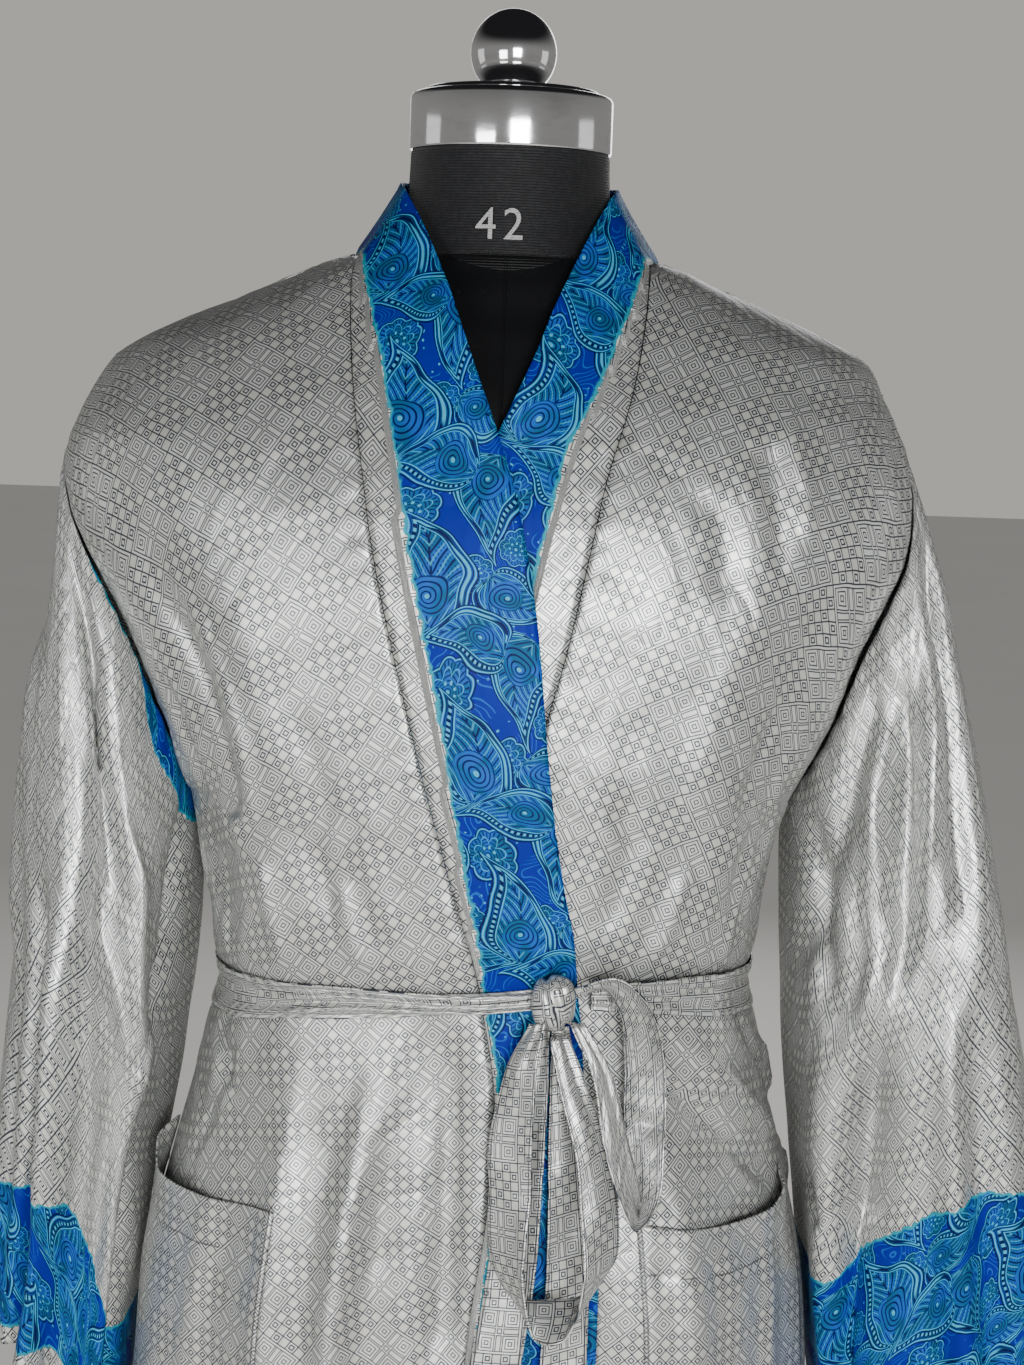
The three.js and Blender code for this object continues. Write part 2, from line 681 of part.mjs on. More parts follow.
// Row of the neckband behind the shoulder, from the ridge to the centre back.
function neckRow(side, share) {
  const turn = 90 + share * 90;
  const seam = bodyPoint(side.sign * Math.min(turn, 179.9), backNeckHeight(1 - share) + 0.5, flat);
  const inwards = 1 - SEAM_GAP / Math.hypot(seam.x, seam.y);
  seam.x = side.sign * Math.max(SEAM_GAP, Math.abs(seam.x) * inwards);
  seam.y *= inwards;
  const sweep = (turn - 90) * DEGREES;
  const x = side.sign * Math.max(SEAM_GAP, BAND_NECK_SIDE.x * Math.cos(sweep));
  const y = BAND_NECK_BACK.y * Math.sin(sweep);
  const free = new THREE.Vector3(x, y, mix(BAND_NECK_SIDE.z, BAND_NECK_BACK.z, share));
  const row = [];
  for (let j = 0; j <= BAND_COLUMNS; j += 1) {
    row.push(seam.clone().lerp(free, j / BAND_COLUMNS));
  }
  return row;
}

// Point and outward normal of the armhole seam at an angle from the shoulder.
function armholeSeam(side, angle) {
  const share = (1 - Math.cos(angle * DEGREES)) / 2;
  const level = mix(side.armholeTop, side.armholeBottom, share);
  const around = side.sign * (angle <= 180 ? 90 : 90.001);
  return { point: bodyPoint(around, level, flat), normal: bodyNormal(around, level, flat) };
}

function sleeveBase(side, angle, share) {
  const start = armholeSeam(side, angle).point;
  const rails = side.rails;
  const end = new THREE.Vector3(side.sign * rails.hemX(angle), rails.hemY(angle), rails.hemZ(angle));
  const leave = new THREE.Vector3(side.sign * rails.startX(angle), rails.startY(angle), rails.startZ(angle));
  const arrive = new THREE.Vector3(side.sign * rails.endX(angle), rails.endY(angle), rails.endZ(angle));
  const s = share;
  const point = start.multiplyScalar((1 + 2 * s) * (1 - s) * (1 - s));
  point.addScaledVector(end, s * s * (3 - 2 * s));
  point.addScaledVector(leave, s * (1 - s) * (1 - s));
  point.addScaledVector(arrive, -s * s * (1 - s));
  return point;
}

function sleeveNormal(side, angle, share) {
  const around = sleeveBase(side, (angle + 1) % 360, share).sub(sleeveBase(side, (angle + 359) % 360, share));
  const down = sleeveBase(side, angle, share + 0.004).sub(sleeveBase(side, angle, share - 0.004));
  return around.cross(down).normalize().multiplyScalar(side.sign);
}

function sleevePoint(side, angle, share) {
  let relief = 0;
  for (const fold of side.sleeveFolds) {
    relief += foldProfile(fold, angle, share, fold.topShare, fold.bottomShare);
  }
  return sleeveBase(side, angle, share).addScaledVector(sleeveNormal(side, angle, share), relief);
}

// Sleeve as one closed tube of cloth, open at the armhole and at the cuff.
function sleeve(side) {
  const columns = 2 * ARMHOLE_STEPS;
  const seams = [];
  for (let j = 0; j < columns; j += 1) {
    seams.push(armholeSeam(side, (j * 360) / columns));
  }
  const first = [];
  const firstNormals = [];
  seams.forEach((seam, j) => {
    const angle = (j * 360) / columns;
    const next = seams[(j + 1) % columns].point;
    const before = seams[(j + columns - 1) % columns].point;
    const along = next.clone().sub(before).normalize();
    const outwards = along.cross(seam.normal).multiplyScalar(-side.sign).normalize();
    const leave = sleeveBase(side, angle, 0.03).sub(seam.point).normalize();
    // Under the arm the cloth turns back down beside the body.
    const foldedBack = 1 - smoothStep(-0.2, 0.6, outwards.dot(leave));
    const point = seam.point.clone().addScaledVector(outwards, SEAM_GAP);
    first.push(point.addScaledVector(seam.normal, 2 * SEAM_GAP * foldedBack));
    const normal = seam.normal.clone().lerp(sleeveNormal(side, angle, 0.03), foldedBack);
    normal.addScaledVector(outwards, -4 * foldedBack * (1 - foldedBack));
    firstNormals.push(normal.normalize());
  });
  const rows = [first];
  for (let i = 1; i <= SLEEVE_ROWS; i += 1) {
    const row = [];
    for (let j = 0; j < columns; j += 1) {
      row.push(sleevePoint(side, (j * 360) / columns, i / SLEEVE_ROWS));
    }
    rows.push(row);
  }
  return clothSolid(rows, { closed: true, normals: [firstNormals], flip: side.sign < 0 });
}

// Patch pocket lying on a front panel, with a mouth that hangs open at its outer end.
function pocket(side, size, lift) {
  const rows = [];
  for (let i = 0; i <= POCKET_ROWS; i += 1) {
    const up = i / POCKET_ROWS;
    const row = [];
    for (let j = 0; j <= POCKET_COLUMNS; j += 1) {
      const share = j / POCKET_COLUMNS;
      const sag = size.sag * Math.sin(Math.PI * share) * up ** 4;
      const rise = size.rise * smoothStep(0.7, 1, share) * up ** 4;
      const level = mix(POCKET_BOTTOM_Z, POCKET_TOP_Z, up) - sag + rise;
      const angle = mix(size.innerAngle, size.outerAngle, share);
      const gape = size.gape * smoothStep(0.15, 0.8, share) * (1 - smoothStep(0.86, 1, share)) * up ** 5;
      row.push(bodyPoint(angle, level, (around) => lift(around) + POCKET_LIFT + gape));
    }
    rows.push(row);
  }
  return clothSolid(rows, { flip: side.sign < 0 });
}

// Strip of the belt round the waist, from one side of the knot to the other.
function beltWaist() {
  const rows = [];
  const startAngle = BELT_ROWS[0][0];
  const endAngle = BELT_ROWS[BELT_ROWS.length - 1][0];
  for (let i = -1; i <= 1; i += 1) {
    const row = [];
    for (let j = 0; j <= BELT_STEPS; j += 1) {
      const around = mix(startAngle, endAngle, j / BELT_STEPS);
      const level = BELT_LEVEL + (i * belt.width(around)) / 2;
      row.push(bodyPoint(wrapAngle(around), level, (angle) => overlapLift(angle) + BELT_LIFT));
    }
    rows.push(row);
  }
  return clothSolid(rows);
}

// Knot in front of the waist, a squeezed wrap of the belt.
function beltKnot() {
  const geometry = new THREE.SphereGeometry(1, 18, 12);
  const position = geometry.attributes.position;
  const surface = bodyPoint(angleAtX(KNOT.x, BELT_LEVEL), BELT_LEVEL, overlapLift);
  for (let i = 0; i < position.count; i += 1) {
    const x = position.getX(i);
    const y = position.getY(i);
    const z = position.getZ(i);
    const groove = 1 - 0.12 * Math.exp(-((x + 0.35 * y) ** 2) / 0.05);
    const squeeze = 1 - 0.16 * z * z;
    position.setXYZ(
      i,
      surface.x + KNOT.halfWidth * x * squeeze,
      surface.y - KNOT.stand - KNOT.halfDepth * z * groove,
      surface.z + KNOT.halfHeight * y * groove
    );
  }
  geometry.computeVertexNormals();
  return geometry;
}

// Ribbon that follows its table in front of the robe.
function ribbon(tableRows, steps) {
  const table = makeTable(RIBBON_COLUMNS, tableRows);
  const rows = [[], [], []];
  for (let i = 0; i <= steps; i += 1) {
    const t = i / steps;
    const x = table.x(t);
    const z = table.z(t);
    const surface = bodyPoint(angleAtX(x, z), z, overlapLift);
    const middle = new THREE.Vector3(x, surface.y - table.stand(t), z);
    const across = new THREE.Vector3(table.acrossX(t), table.acrossY(t), table.acrossZ(t)).normalize();
    rows.forEach((row, k) => {
      row.push(middle.clone().addScaledVector(across, ((k - 1) * table.width(t)) / 2));
    });
  }
  return clothSolid(rows);
}

// Limbless torso as a stack of squared-off ellipses.
function torso() {
  const heights = FORM_SECTIONS.map((row) => row[0]);
  const positions = [];
  const indices = [];
  heights.forEach((z) => {
    for (let j = 0; j < TORSO_SEGMENTS; j += 1) {
      const angle = (2 * Math.PI * j) / TORSO_SEGMENTS;
      const square = form.square(z);
      const middle = SHOULDER_RIDGE_Y * smoothStep(1300, 1360, z);
      const reach = (Math.cos(angle) > 0 ? form.front(z) : form.back(z)) - middle;
      positions.push(form.halfWidth(z) * widthShare(angle, square));
      positions.push(middle + reach * Math.abs(depthShare(angle, square)));
      positions.push(z);
    }
  });
  for (let i = 0; i < heights.length - 1; i += 1) {
    for (let j = 0; j < TORSO_SEGMENTS; j += 1) {
      const next = (j + 1) % TORSO_SEGMENTS;
      const a = i * TORSO_SEGMENTS + j;
      const b = i * TORSO_SEGMENTS + next;
      const c = (i + 1) * TORSO_SEGMENTS + next;
      const d = (i + 1) * TORSO_SEGMENTS + j;
      indices.push(a, b, c, a, c, d);
    }
  }
  const top = (heights.length - 1) * TORSO_SEGMENTS;
  for (let j = 1; j < TORSO_SEGMENTS - 1; j += 1) {
    indices.push(0, j + 1, j, top, top + j, top + j + 1);
  }
  const geometry = new THREE.BufferGeometry();
  geometry.setAttribute("position", new THREE.Float32BufferAttribute(positions, 3));
  geometry.setIndex(indices);
  geometry.computeVertexNormals();
  return geometry;
}

// Solid turned about the vertical axis from a profile of radius and height.
function turned(profile, segments) {
  const geometry = new THREE.LatheGeometry(profile.map((p) => new THREE.Vector2(p[0], p[1])), segments);
  geometry.rotateX(Math.PI / 2);
  return geometry;
}

function neckBlock() {
  const height = NECK_TOP_Z - NECK_BASE_Z - 0.3;
  const profile = [
    [0, 0],
    [66.5, 0],
    [64.5, height * 0.3],
    [62.6, height * 0.62],
    [61.6, height],
    [0, height],
  ];
  const geometry = turned(profile, 32);
  geometry.translate(0, 0, NECK_BASE_Z + 0.3);
  return geometry;
}

function neckRing() {
  const profile = [
    [0, RING_BOTTOM_Z],
    [RING_RADIUS - 1, RING_BOTTOM_Z],
    [RING_RADIUS, RING_BOTTOM_Z + 1],
    [RING_RADIUS, RING_TOP_Z - 2.5],
    [RING_RADIUS - 2.5, RING_TOP_Z],
    [RING_RADIUS - 12, RING_TOP_Z + 3],
    [RING_RADIUS - 22, RING_TOP_Z + 4.5],
    [0, RING_TOP_Z + 4.5],
  ];
  return turned(profile, 36);
}

function finial() {
  const foot = RING_TOP_Z + 4.8;
  const profile = [[0, foot], [13, foot]];
  const start = Math.asin((foot - BALL_CENTRE_Z) / BALL_RADIUS);
  const steps = 11;
  for (let i = 0; i <= steps; i += 1) {
    const angle = mix(start + 0.12, Math.PI / 2, i / steps);
    const radius = i === steps ? 0 : BALL_RADIUS * Math.cos(angle);
    profile.push([radius, BALL_CENTRE_Z + BALL_RADIUS * Math.sin(angle)]);
  }
  return turned(profile, 24);
}

function pole() {
  const bottom = 46.3;
  const top = TORSO_BOTTOM_Z - 0.3;
  return turned([[0, bottom], [POLE_RADIUS, bottom], [POLE_RADIUS, top], [0, top]], 28);
}

function standBase() {
  const profile = [
    [0, 0],
    [BASE_RADIUS - 2, 0],
    [BASE_RADIUS, 2],
    [BASE_RADIUS, BASE_RIM_HEIGHT - 2],
    [BASE_RADIUS - 3, BASE_RIM_HEIGHT],
    [80, 18],
    [30, 24],
    [22, 46],
    [0, 46],
  ];
  return turned(profile, 44);
}

const silk = { color: 0xa4a7ab, roughness: 0.45 };
const border = { color: 0x1e5fc0, roughness: 0.5 };
const jersey = { color: 0x17181a, roughness: 0.9 };
const chrome = { color: 0xd8d8da, roughness: 0.12, metalness: 1 };
const paint = { color: 0x141414, roughness: 0.5 };

const PIECES = [
  ["form_torso", torso, jersey],
  ["form_neck_block", neckBlock, jersey],
  ["form_neck_ring", neckRing, chrome],
  ["form_finial", finial, chrome],
  ["form_pole", pole, chrome],
  ["form_base", standBase, paint],
  ["back_panel", backPanel, silk],
  ["front_right", () => frontPanel(SIDES.right, overlapLift), silk],
  ["front_left", () => frontPanel(SIDES.left, flat), silk],
  ["sleeve_right", () => sleeve(SIDES.right), silk],
  ["sleeve_left", () => sleeve(SIDES.left), silk],
  ["neckband_right", () => neckband(SIDES.right, overlapLift), border],
  ["neckband_left", () => neckband(SIDES.left, flat), border],
  ["pocket_right", () => pocket(SIDES.right, POCKET_RIGHT, overlapLift), silk],
  ["pocket_left", () => pocket(SIDES.left, POCKET_LEFT, flat), silk],
  ["belt_waist", beltWaist, silk],
  ["belt_knot", beltKnot, silk],
  ["belt_loop_large", () => ribbon(LARGE_LOOP_ROWS, RIBBON_STEPS), silk],
  ["belt_loop_small", () => ribbon(SMALL_LOOP_ROWS, RIBBON_STEPS), silk],
  ["belt_tail_right", () => ribbon(RIGHT_TAIL_ROWS, TAIL_STEPS), silk],
  ["belt_tail_left", () => ribbon(LEFT_TAIL_ROWS, TAIL_STEPS), silk],
];

const robeOnForm = new THREE.Group();
robeOnForm.name = "kimono_robe_on_dress_form";
for (const [name, build, look] of PIECES) {
  const material = new THREE.MeshStandardMaterial(look);
  material.name = name;
  const mesh = new THREE.Mesh(build(), material);
  mesh.name = name;
  robeOnForm.add(mesh);
}

export default robeOnForm;
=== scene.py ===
"""Blender looks of a long silk kimono robe worn by a limbless dress form.

The tables hold millimetres and degrees, and the meshes metres, in the frame of
the solids: Z is up, the front faces -Y and the wearer's left is +X.
"""

import logging
import math
from dataclasses import dataclass, field
from enum import Enum
from typing import Callable, Sequence

import bmesh
import bpy
import numpy as np
from mathutils import Matrix, Vector


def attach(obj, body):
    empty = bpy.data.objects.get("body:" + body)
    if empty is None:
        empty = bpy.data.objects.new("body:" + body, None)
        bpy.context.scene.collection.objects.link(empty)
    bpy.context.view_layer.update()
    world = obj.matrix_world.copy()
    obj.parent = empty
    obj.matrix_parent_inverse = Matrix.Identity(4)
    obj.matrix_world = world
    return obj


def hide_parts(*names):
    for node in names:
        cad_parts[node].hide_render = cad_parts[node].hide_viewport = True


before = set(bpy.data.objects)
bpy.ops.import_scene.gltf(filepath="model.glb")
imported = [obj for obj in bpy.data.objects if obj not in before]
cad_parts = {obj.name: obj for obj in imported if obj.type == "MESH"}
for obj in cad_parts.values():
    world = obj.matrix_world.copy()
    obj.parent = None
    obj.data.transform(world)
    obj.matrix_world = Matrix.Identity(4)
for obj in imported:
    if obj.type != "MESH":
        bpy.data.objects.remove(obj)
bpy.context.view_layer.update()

log = logging.getLogger("robe")

Array = np.ndarray
Colour = tuple[float, float, float, float]
Pair = tuple[float, float]
Place = tuple[float, float, float]
Rows = Sequence[Sequence[float]]
Lift = Callable[[Array], Array]
Surface = Callable[[Array, Array], Array]
Socket = bpy.types.NodeSocket

MM = 0.001
BODY = "root"

NECK_POINT_Z = 1425.0
BELT_LEVEL = 966.0
SEAM_GAP = 0.4
OVERLAP_LIFT = 3.8
POCKET_LIFT = 2.6
BELT_LIFT = 2.3
SHOULDER_RIDGE_Y = 3.0
CLOTH_WALL = 1.1
# How far above and below the belt it pinches the cloth and tilts its levels.
PINCH_REACH = 22.0
LEVEL_REACH = 70.0

FORM_COLUMNS = "z half_width front back square"
FORM_SECTIONS = [
    (700, 176, -138, 124, 0.05),
    (780, 185, -148, 134, 0.05),
    (840, 181, -144, 128, 0.05),
    (900, 168, -135, 112, 0.045),
    (960, 156, -127, 97, 0.04),
    (1010, 159, -129, 99, 0.04),
    (1070, 170, -138, 111, 0.045),
    (1140, 181, -145, 123, 0.05),
    (1210, 191, -146, 127, 0.05),
    (1270, 206, -138, 124, 0.045),
    (1310, 220, -126, 118, 0.04),
    (1340, 229, -113, 111, 0.03),
    (1356, 226, -104, 106, 0.025),
    (1368, 213, -97, 102, 0.02),
    (1380, 192, -90, 97, 0.015),
    (1394, 164, -81, 90, 0.01),
    (1408, 134, -73, 82, 0.005),
    (1418, 110, -67, 76, 0),
    (1427, 80, -62, 69, 0),
]

CENTRE_COLUMNS = "z front back square"
CENTRE_SECTIONS = [
    (220, -186, 166, 0.04),
    (400, -180, 160, 0.04),
    (600, -172, 153, 0.05),
    (700, -167, 149, 0.05),
    (780, -161, 145, 0.055),
    (840, -155, 136, 0.055),
    (900, -147, 122, 0.05),
    (960, -143, 113, 0.045),
    (1010, -146, 116, 0.045),
    (1070, -150, 124, 0.045),
    (1140, -154, 132, 0.05),
    (1210, -154, 135, 0.05),
    (1270, -146, 131, 0.045),
    (1310, -133, 124, 0.04),
    (1342.4, -118.5, 116.5, 0.03),
    (1358.4, -108, 110, 0.025),
    (1370.4, -100.5, 105.5, 0.02),
    (1382.4, -93, 100, 0.015),
    (1396.4, -83.5, 92.5, 0.01),
    (1410.4, -75, 84.5, 0.005),
    (1420.4, -69, 78.5, 0),
    (1429.4, -64, 71.5, 0),
]

# Where each body panel ends. The turn is the angle a row bends before its edge.
EDGE_COLUMNS = "z x front back turn"
SIDE_SEAM_ROWS = [
    (220, 246, -0.2, 0.2, 90),
    (400, 239, -0.2, 0.2, 90),
    (600, 228, -0.2, 0.2, 90),
    (700, 221, -0.2, 0.2, 90),
    (780, 214, -0.2, 0.2, 90),
    (840, 203, -0.2, 0.2, 90),
    (900, 190, -0.2, 0.2, 90),
    (960, 180, -0.2, 0.2, 90),
    (1010, 179, -0.2, 0.2, 90),
    (1050, 184, -0.2, 0.2, 90),
]
SHOULDER_RIDGE_ROWS = [
    (1383, 200.8, 2.8, 3.2, 90),
    (1396.4, 169.8, 2.8, 3.2, 90),
    (1410.4, 137.3, 2.8, 3.2, 90),
    (1420.4, 113.2, 2.8, 3.2, 90),
    (1425.4, 97, 2.8, 3.2, 90),
    (1429.4, 81.5, 2.8, 3.2, 90),
]
ARMHOLE_ROWS_RIGHT = [
    (1086, 190, -0.3, 0.3, 90),
    (1094, 192.5, -20, 19, 80),
    (1110, 197, -36, 34, 72),
    (1141, 207, -52, 48, 66),
    (1176, 219, -61, 56, 62),
    (1213, 235, -65, 60, 60),
    (1246, 253, -60, 56, 62),
    (1272, 265, -50, 48, 66),
    (1297, 271, -33, 34, 74),
    (1312, 270, -14, 18, 84),
    (1319, 268, 2.8, 3.2, 90),
    (1345, 254, 2.8, 3.2, 90),
    (1359, 244, 2.8, 3.2, 90),
    (1370, 230, 2.8, 3.2, 90),
]
ARMHOLE_ROWS_LEFT = [
    (1092, 194, -0.3, 0.3, 90),
    (1101, 197, -21, 20, 80),
    (1118, 203, -38, 36, 72),
    (1152, 215, -54, 50, 66),
    (1190, 226, -62, 58, 62),
    (1222, 239, -65, 60, 60),
    (1256, 251, -61, 57, 62),
    (1288, 254, -50, 48, 66),
    (1318, 250, -34, 35, 74),
    (1340, 243.5, -14, 18, 84),
    (1350, 239, 2.8, 3.2, 90),
    (1360, 235, 2.8, 3.2, 90),
    (1371, 226, 2.8, 3.2, 90),
]

# Heights of the panel rows below the armhole and on the shoulder.
SKIRT_ROWS = [220, 310, 400, 490, 580, 660, 730, 790, 840, 885, 920, 950.5, 966, 981.5, 1004, 1038]
SHOULDER_ROWS_RIGHT = [1348, 1370, 1389, 1405, 1417, 1425]
SHOULDER_ROWS_LEFT = [1366, 1380, 1393, 1406, 1417, 1425]
SEAM_ROWS_ARMHOLE = [1080, 1320]
SEAM_ROWS_SHOULDER = [1344, 1368, 1389, 1405, 1417, 1425]

# Neckband: its seam to the front panel, then its free edge, down the front.
BAND_COLUMNS = "seam_z seam_x edge_x edge_y edge_z lift"
BAND_ROWS_RIGHT = [
    (220, -14, 70, -186, 220, 0),
    (600, -10, 74, -172, 600, 0),
    (780, -2, 76, -161, 780, 0),
    (860, 8, 74, -152, 860, 0),
    (910, 10, 66, -146, 912, 0),
    (960, 1, 58, -143, 965, 0),
    (1010, -8, 52, -146, 1018, 0),
    (1054, -18, 45, -150, 1064, 0),
    (1130, -38, 34, -154, 1142, 0),
    (1200, -56, 26, -154, 1214, 0),
    (1260, -70, 14, -150, 1277, 0.1),
    (1300, -77, -1, -139, 1325, 0.45),
    (1341, -84, -13, -124, 1356, 0.8),
    (1362, -87, -25, -108, 1388, 1),
    (1380, -89, -32, -93, 1406, 1),
    (1396, -90.5, -39, -77, 1421, 1),
    (1410, -91, -50, -56, 1443, 1),
    (1425, -91, -62, -30, 1463, 1),
]
BAND_ROWS_LEFT = [
    (220, 14, -70, -186, 220, 0),
    (600, 6, -76, -172, 600, 0),
    (780, -6, -84, -161, 780, 0),
    (860, -14, -88, -152, 860, 0),
    (910, -16, -84, -146, 912, 0),
    (960, -10, -76, -143, 965, 0),
    (1010, -4, -70, -146, 1018, 0),
    (1054, 5, -60, -150, 1064, 0),
    (1130, 24, -50, -154, 1142, 0),
    (1200, 42, -36, -154, 1214, 0),
    (1260, 54, -20, -150, 1277, 0.05),
    (1300, 62, -3, -138, 1320, 0.35),
    (1341, 74, 9, -126, 1347, 0.8),
    (1362, 79, 20, -111, 1372, 1),
    (1380, 82, 29, -96, 1396, 1),
    (1396, 84.5, 38, -79, 1416, 1),
    (1410, 86, 50, -57, 1441, 1),
    (1425, 88, 62, -30, 1463, 1),
]
# Width of the grey strip of the neckband beside its seam, by height.
STRIP_COLUMNS = "z width"
STRIP_ROWS_RIGHT = [
    (220, 6),
    (700, 9),
    (860, 3),
    (966, 2),
    (1010, 5),
    (1100, 12),
    (1180, 18),
    (1280, 20),
    (1350, 18),
    (1400, 10),
    (1425, 5),
]
STRIP_ROWS_LEFT = [
    (220, 22),
    (966, 24),
    (1150, 26),
    (1250, 27),
    (1310, 26),
    (1350, 20),
    (1400, 9),
    (1425, 5),
]
BAND_NECK_SIDE = (67.5, 1470.0)
BAND_NECK_BACK = (74.0, 1476.0)
BACK_NECK_Z = 1414.0

# Main folds of the body: angle and height of both ends, spread in degrees, depth.
BODY_FOLDS = [
    (-8, 985, -14, 120, 9, -8),
    (-24, 975, -30, 120, 9, 7),
    (-42, 960, -46, 120, 9, -7),
    (-66, 940, -70, 120, 12, 8),
    (34, 965, 52, 800, 8, -5),
    (24, 960, 30, 120, 9, 7),
    (56, 900, 48, 120, 10, -7),
    (74, 940, 74, 120, 10, 7),
    (100, 950, 104, 120, 10, -9),
    (122, 950, 126, 120, 10, 9),
    (146, 950, 150, 120, 10, -8),
    (170, 950, 172, 120, 10, 8),
    (-100, 950, -104, 120, 10, -9),
    (-122, 950, -128, 120, 10, 9),
    (-148, 950, -152, 120, 10, -7),
    (-62, 1290, -58, 985, 9, -5),
    (-46, 1260, -38, 985, 9, 4),
    (64, 1280, 58, 985, 9, -5),
    (44, 1250, 40, 990, 8, 4),
    (122, 1280, 118, 985, 10, -5),
    (148, 1260, 146, 985, 10, 5),
    (-122, 1280, -118, 985, 10, -5),
    (-148, 1260, -146, 985, 10, 5),
]

# Sleeves: rails from the armhole to the cuff, from the top through the front.
RAIL_COLUMNS = "angle hem_x hem_y hem_z start_x start_y start_z end_x end_y end_z"
RAILS_RIGHT = [
    (0, 334, -16, 726, 30, 0, -330, 60, 0, -580),
    (45, 319, -78, 724, 30, -110, -330, 60, 10, -570),
    (90, 274, -100, 722, 20, -170, -370, 70, 10, -500),
    (135, 244, -88, 630, -20, -140, -400, 62, 20, -500),
    (180, 238, -18, 624, -45, 0, -330, 46, 0, -500),
    (225, 250, 54, 660, 0, 110, -360, 40, -10, -480),
    (270, 278, 80, 704, 40, 150, -370, 70, -10, -540),
    (315, 321, 50, 722, 40, 90, -330, 60, -10, -570),
]
RAILS_LEFT = [
    (0, 408, -14, 730, 130, 0, -360, 130, 0, -540),
    (45, 391, -78, 721, 130, -120, -360, 120, 10, -540),
    (90, 318, -104, 707, 90, -190, -380, 100, 10, -500),
    (135, 249, -80, 652, 10, -150, -390, 90, 20, -480),
    (180, 236, -12, 644, -20, 0, -330, 60, 0, -480),
    (225, 258, 58, 662, 20, 110, -360, 80, -10, -480),
    (270, 322, 80, 700, 90, 150, -370, 110, -10, -520),
    (315, 386, 54, 720, 130, 90, -350, 120, -10, -540),
]
# Main folds of the sleeves: angle and share of the length at both ends.
SLEEVE_FOLDS_RIGHT = [
    (70, 0.05, 112, 0.5, 13, -8),
    (150, 0.05, 150, 0.7, 14, -6),
    (118, 0.45, 116, 1.4, 12, -14),
    (84, 0.3, 82, 1.4, 14, 8),
    (44, 0.4, 52, 1.4, 13, -9),
    (210, 0.1, 236, 1.4, 16, -10),
    (262, 0.1, 268, 1.4, 14, 7),
    (300, 0.2, 306, 1.4, 14, -8),
]
SLEEVE_FOLDS_LEFT = [
    (62, 0.04, 128, 0.45, 12, -8),
    (100, 0.04, 158, 0.32, 12, -7),
    (70, 0.3, 66, 1.4, 14, 8),
    (104, 0.4, 108, 1.4, 13, -11),
    (138, 0.35, 136, 1.4, 12, 7),
    (34, 0.4, 36, 1.4, 14, -7),
    (214, 0.1, 232, 1.4, 16, -10),
    (262, 0.1, 268, 1.4, 14, 7),
    (304, 0.2, 306, 1.4, 14, -8),
]

# Belt round the waist: angle from the centre front, height, width and pinch.
BELT_COLUMNS = "angle z width pinch"
BELT_ROWS = [
    (-342, 995, 15, 4),
    (-325, 992, 24, 5),
    (-300, 981, 29, 7),
    (-270, 968, 31, 8),
    (-225, 964, 31, 8),
    (-180, 966, 31, 8),
    (-135, 962, 31, 8),
    (-90, 960, 31, 8),
    (-60, 970, 31, 7),
    (-30, 983, 22, 5),
    (0, 990, 13, 4),
    (12, 995, 12, 4),
]

# Ribbons of the bow. Stand is the distance in front of the robe.
RIBBON_COLUMNS = "t x z stand across_x across_y across_z width"
LARGE_LOOP_ROWS = [
    (0, 33.3, 984, 15, 0.7, -0.5, 0.3, 12),
    (0.12, 25, 955, 22, 0.85, -0.5, 0.1, 22),
    (0.28, 20, 900, 21, 0.92, -0.4, 0, 28),
    (0.42, 20, 842, 19, 0.75, -0.65, -0.1, 28),
    (0.52, 34, 808, 24, 0.45, -0.6, -0.65, 27),
    (0.62, 58, 812, 34, -0.2, -0.75, -0.65, 27),
    (0.74, 76, 852, 36, -0.75, -0.6, -0.1, 27),
    (0.86, 70, 905, 33, -0.85, -0.5, 0.1, 24),
    (0.94, 56, 950, 28, -0.8, -0.5, 0.1, 18),
    (1, 47, 977, 20.5, -0.7, -0.5, 0.1, 12),
]
SMALL_LOOP_ROWS = [
    (0, 55.4, 1003, 12.5, -0.1, -0.7, 0.7, 11),
    (0.16, 74, 1011, 19, 0.3, -0.7, 0.6, 19),
    (0.32, 92, 990, 20, 0.8, -0.5, 0.3, 23),
    (0.5, 99, 945, 19, 0.92, -0.4, 0, 27),
    (0.66, 100, 892, 22, 0.85, -0.5, -0.1, 25),
    (0.76, 97, 872, 29, -0.1, -0.9, -0.4, 20),
    (0.86, 86, 905, 33, -0.75, -0.6, 0, 19),
    (0.95, 72, 960, 29, -0.75, -0.6, 0.2, 14),
    (1, 57.2, 986, 18, -0.7, -0.6, 0.3, 10),
]
RIGHT_TAIL_ROWS = [
    (0, 36, 976.4, 9, 0.8, -0.3, 0.2, 11),
    (0.2, 30, 925, 9, 0.95, -0.3, 0, 24),
    (0.5, 24, 835, 8, 0.95, -0.25, 0, 29),
    (0.8, 14, 745, 8, 0.97, -0.2, 0.05, 31),
    (1, 12, 668, 8, 0.98, -0.15, 0.05, 31),
]
LEFT_TAIL_ROWS = [
    (0, 47.5, 978, 8.5, 0.8, 0.2, 0.1, 10),
    (0.2, 54, 915, 7, 0.93, 0.3, 0, 23),
    (0.5, 58, 825, 8, 0.95, 0.25, 0, 27),
    (0.8, 56, 735, 8, 0.95, 0.2, 0, 30),
    (1, 58, 640, 8, 0.96, 0.15, 0, 30),
]

# Angle of the first point behind a side seam.
JUST_BEHIND = 90.001

POCKET_TOP_Z = 852.0
POCKET_BOTTOM_Z = 672.0
POCKET_HEM = 30.0
POCKET_STITCH = 2.5


def smooth_step(low: float, high: float, value: Array) -> Array:
    """Eased share of the way from low to high."""
    share = np.clip((value - low) / (high - low), 0.0, 1.0)
    return share * share * (3.0 - 2.0 * share)


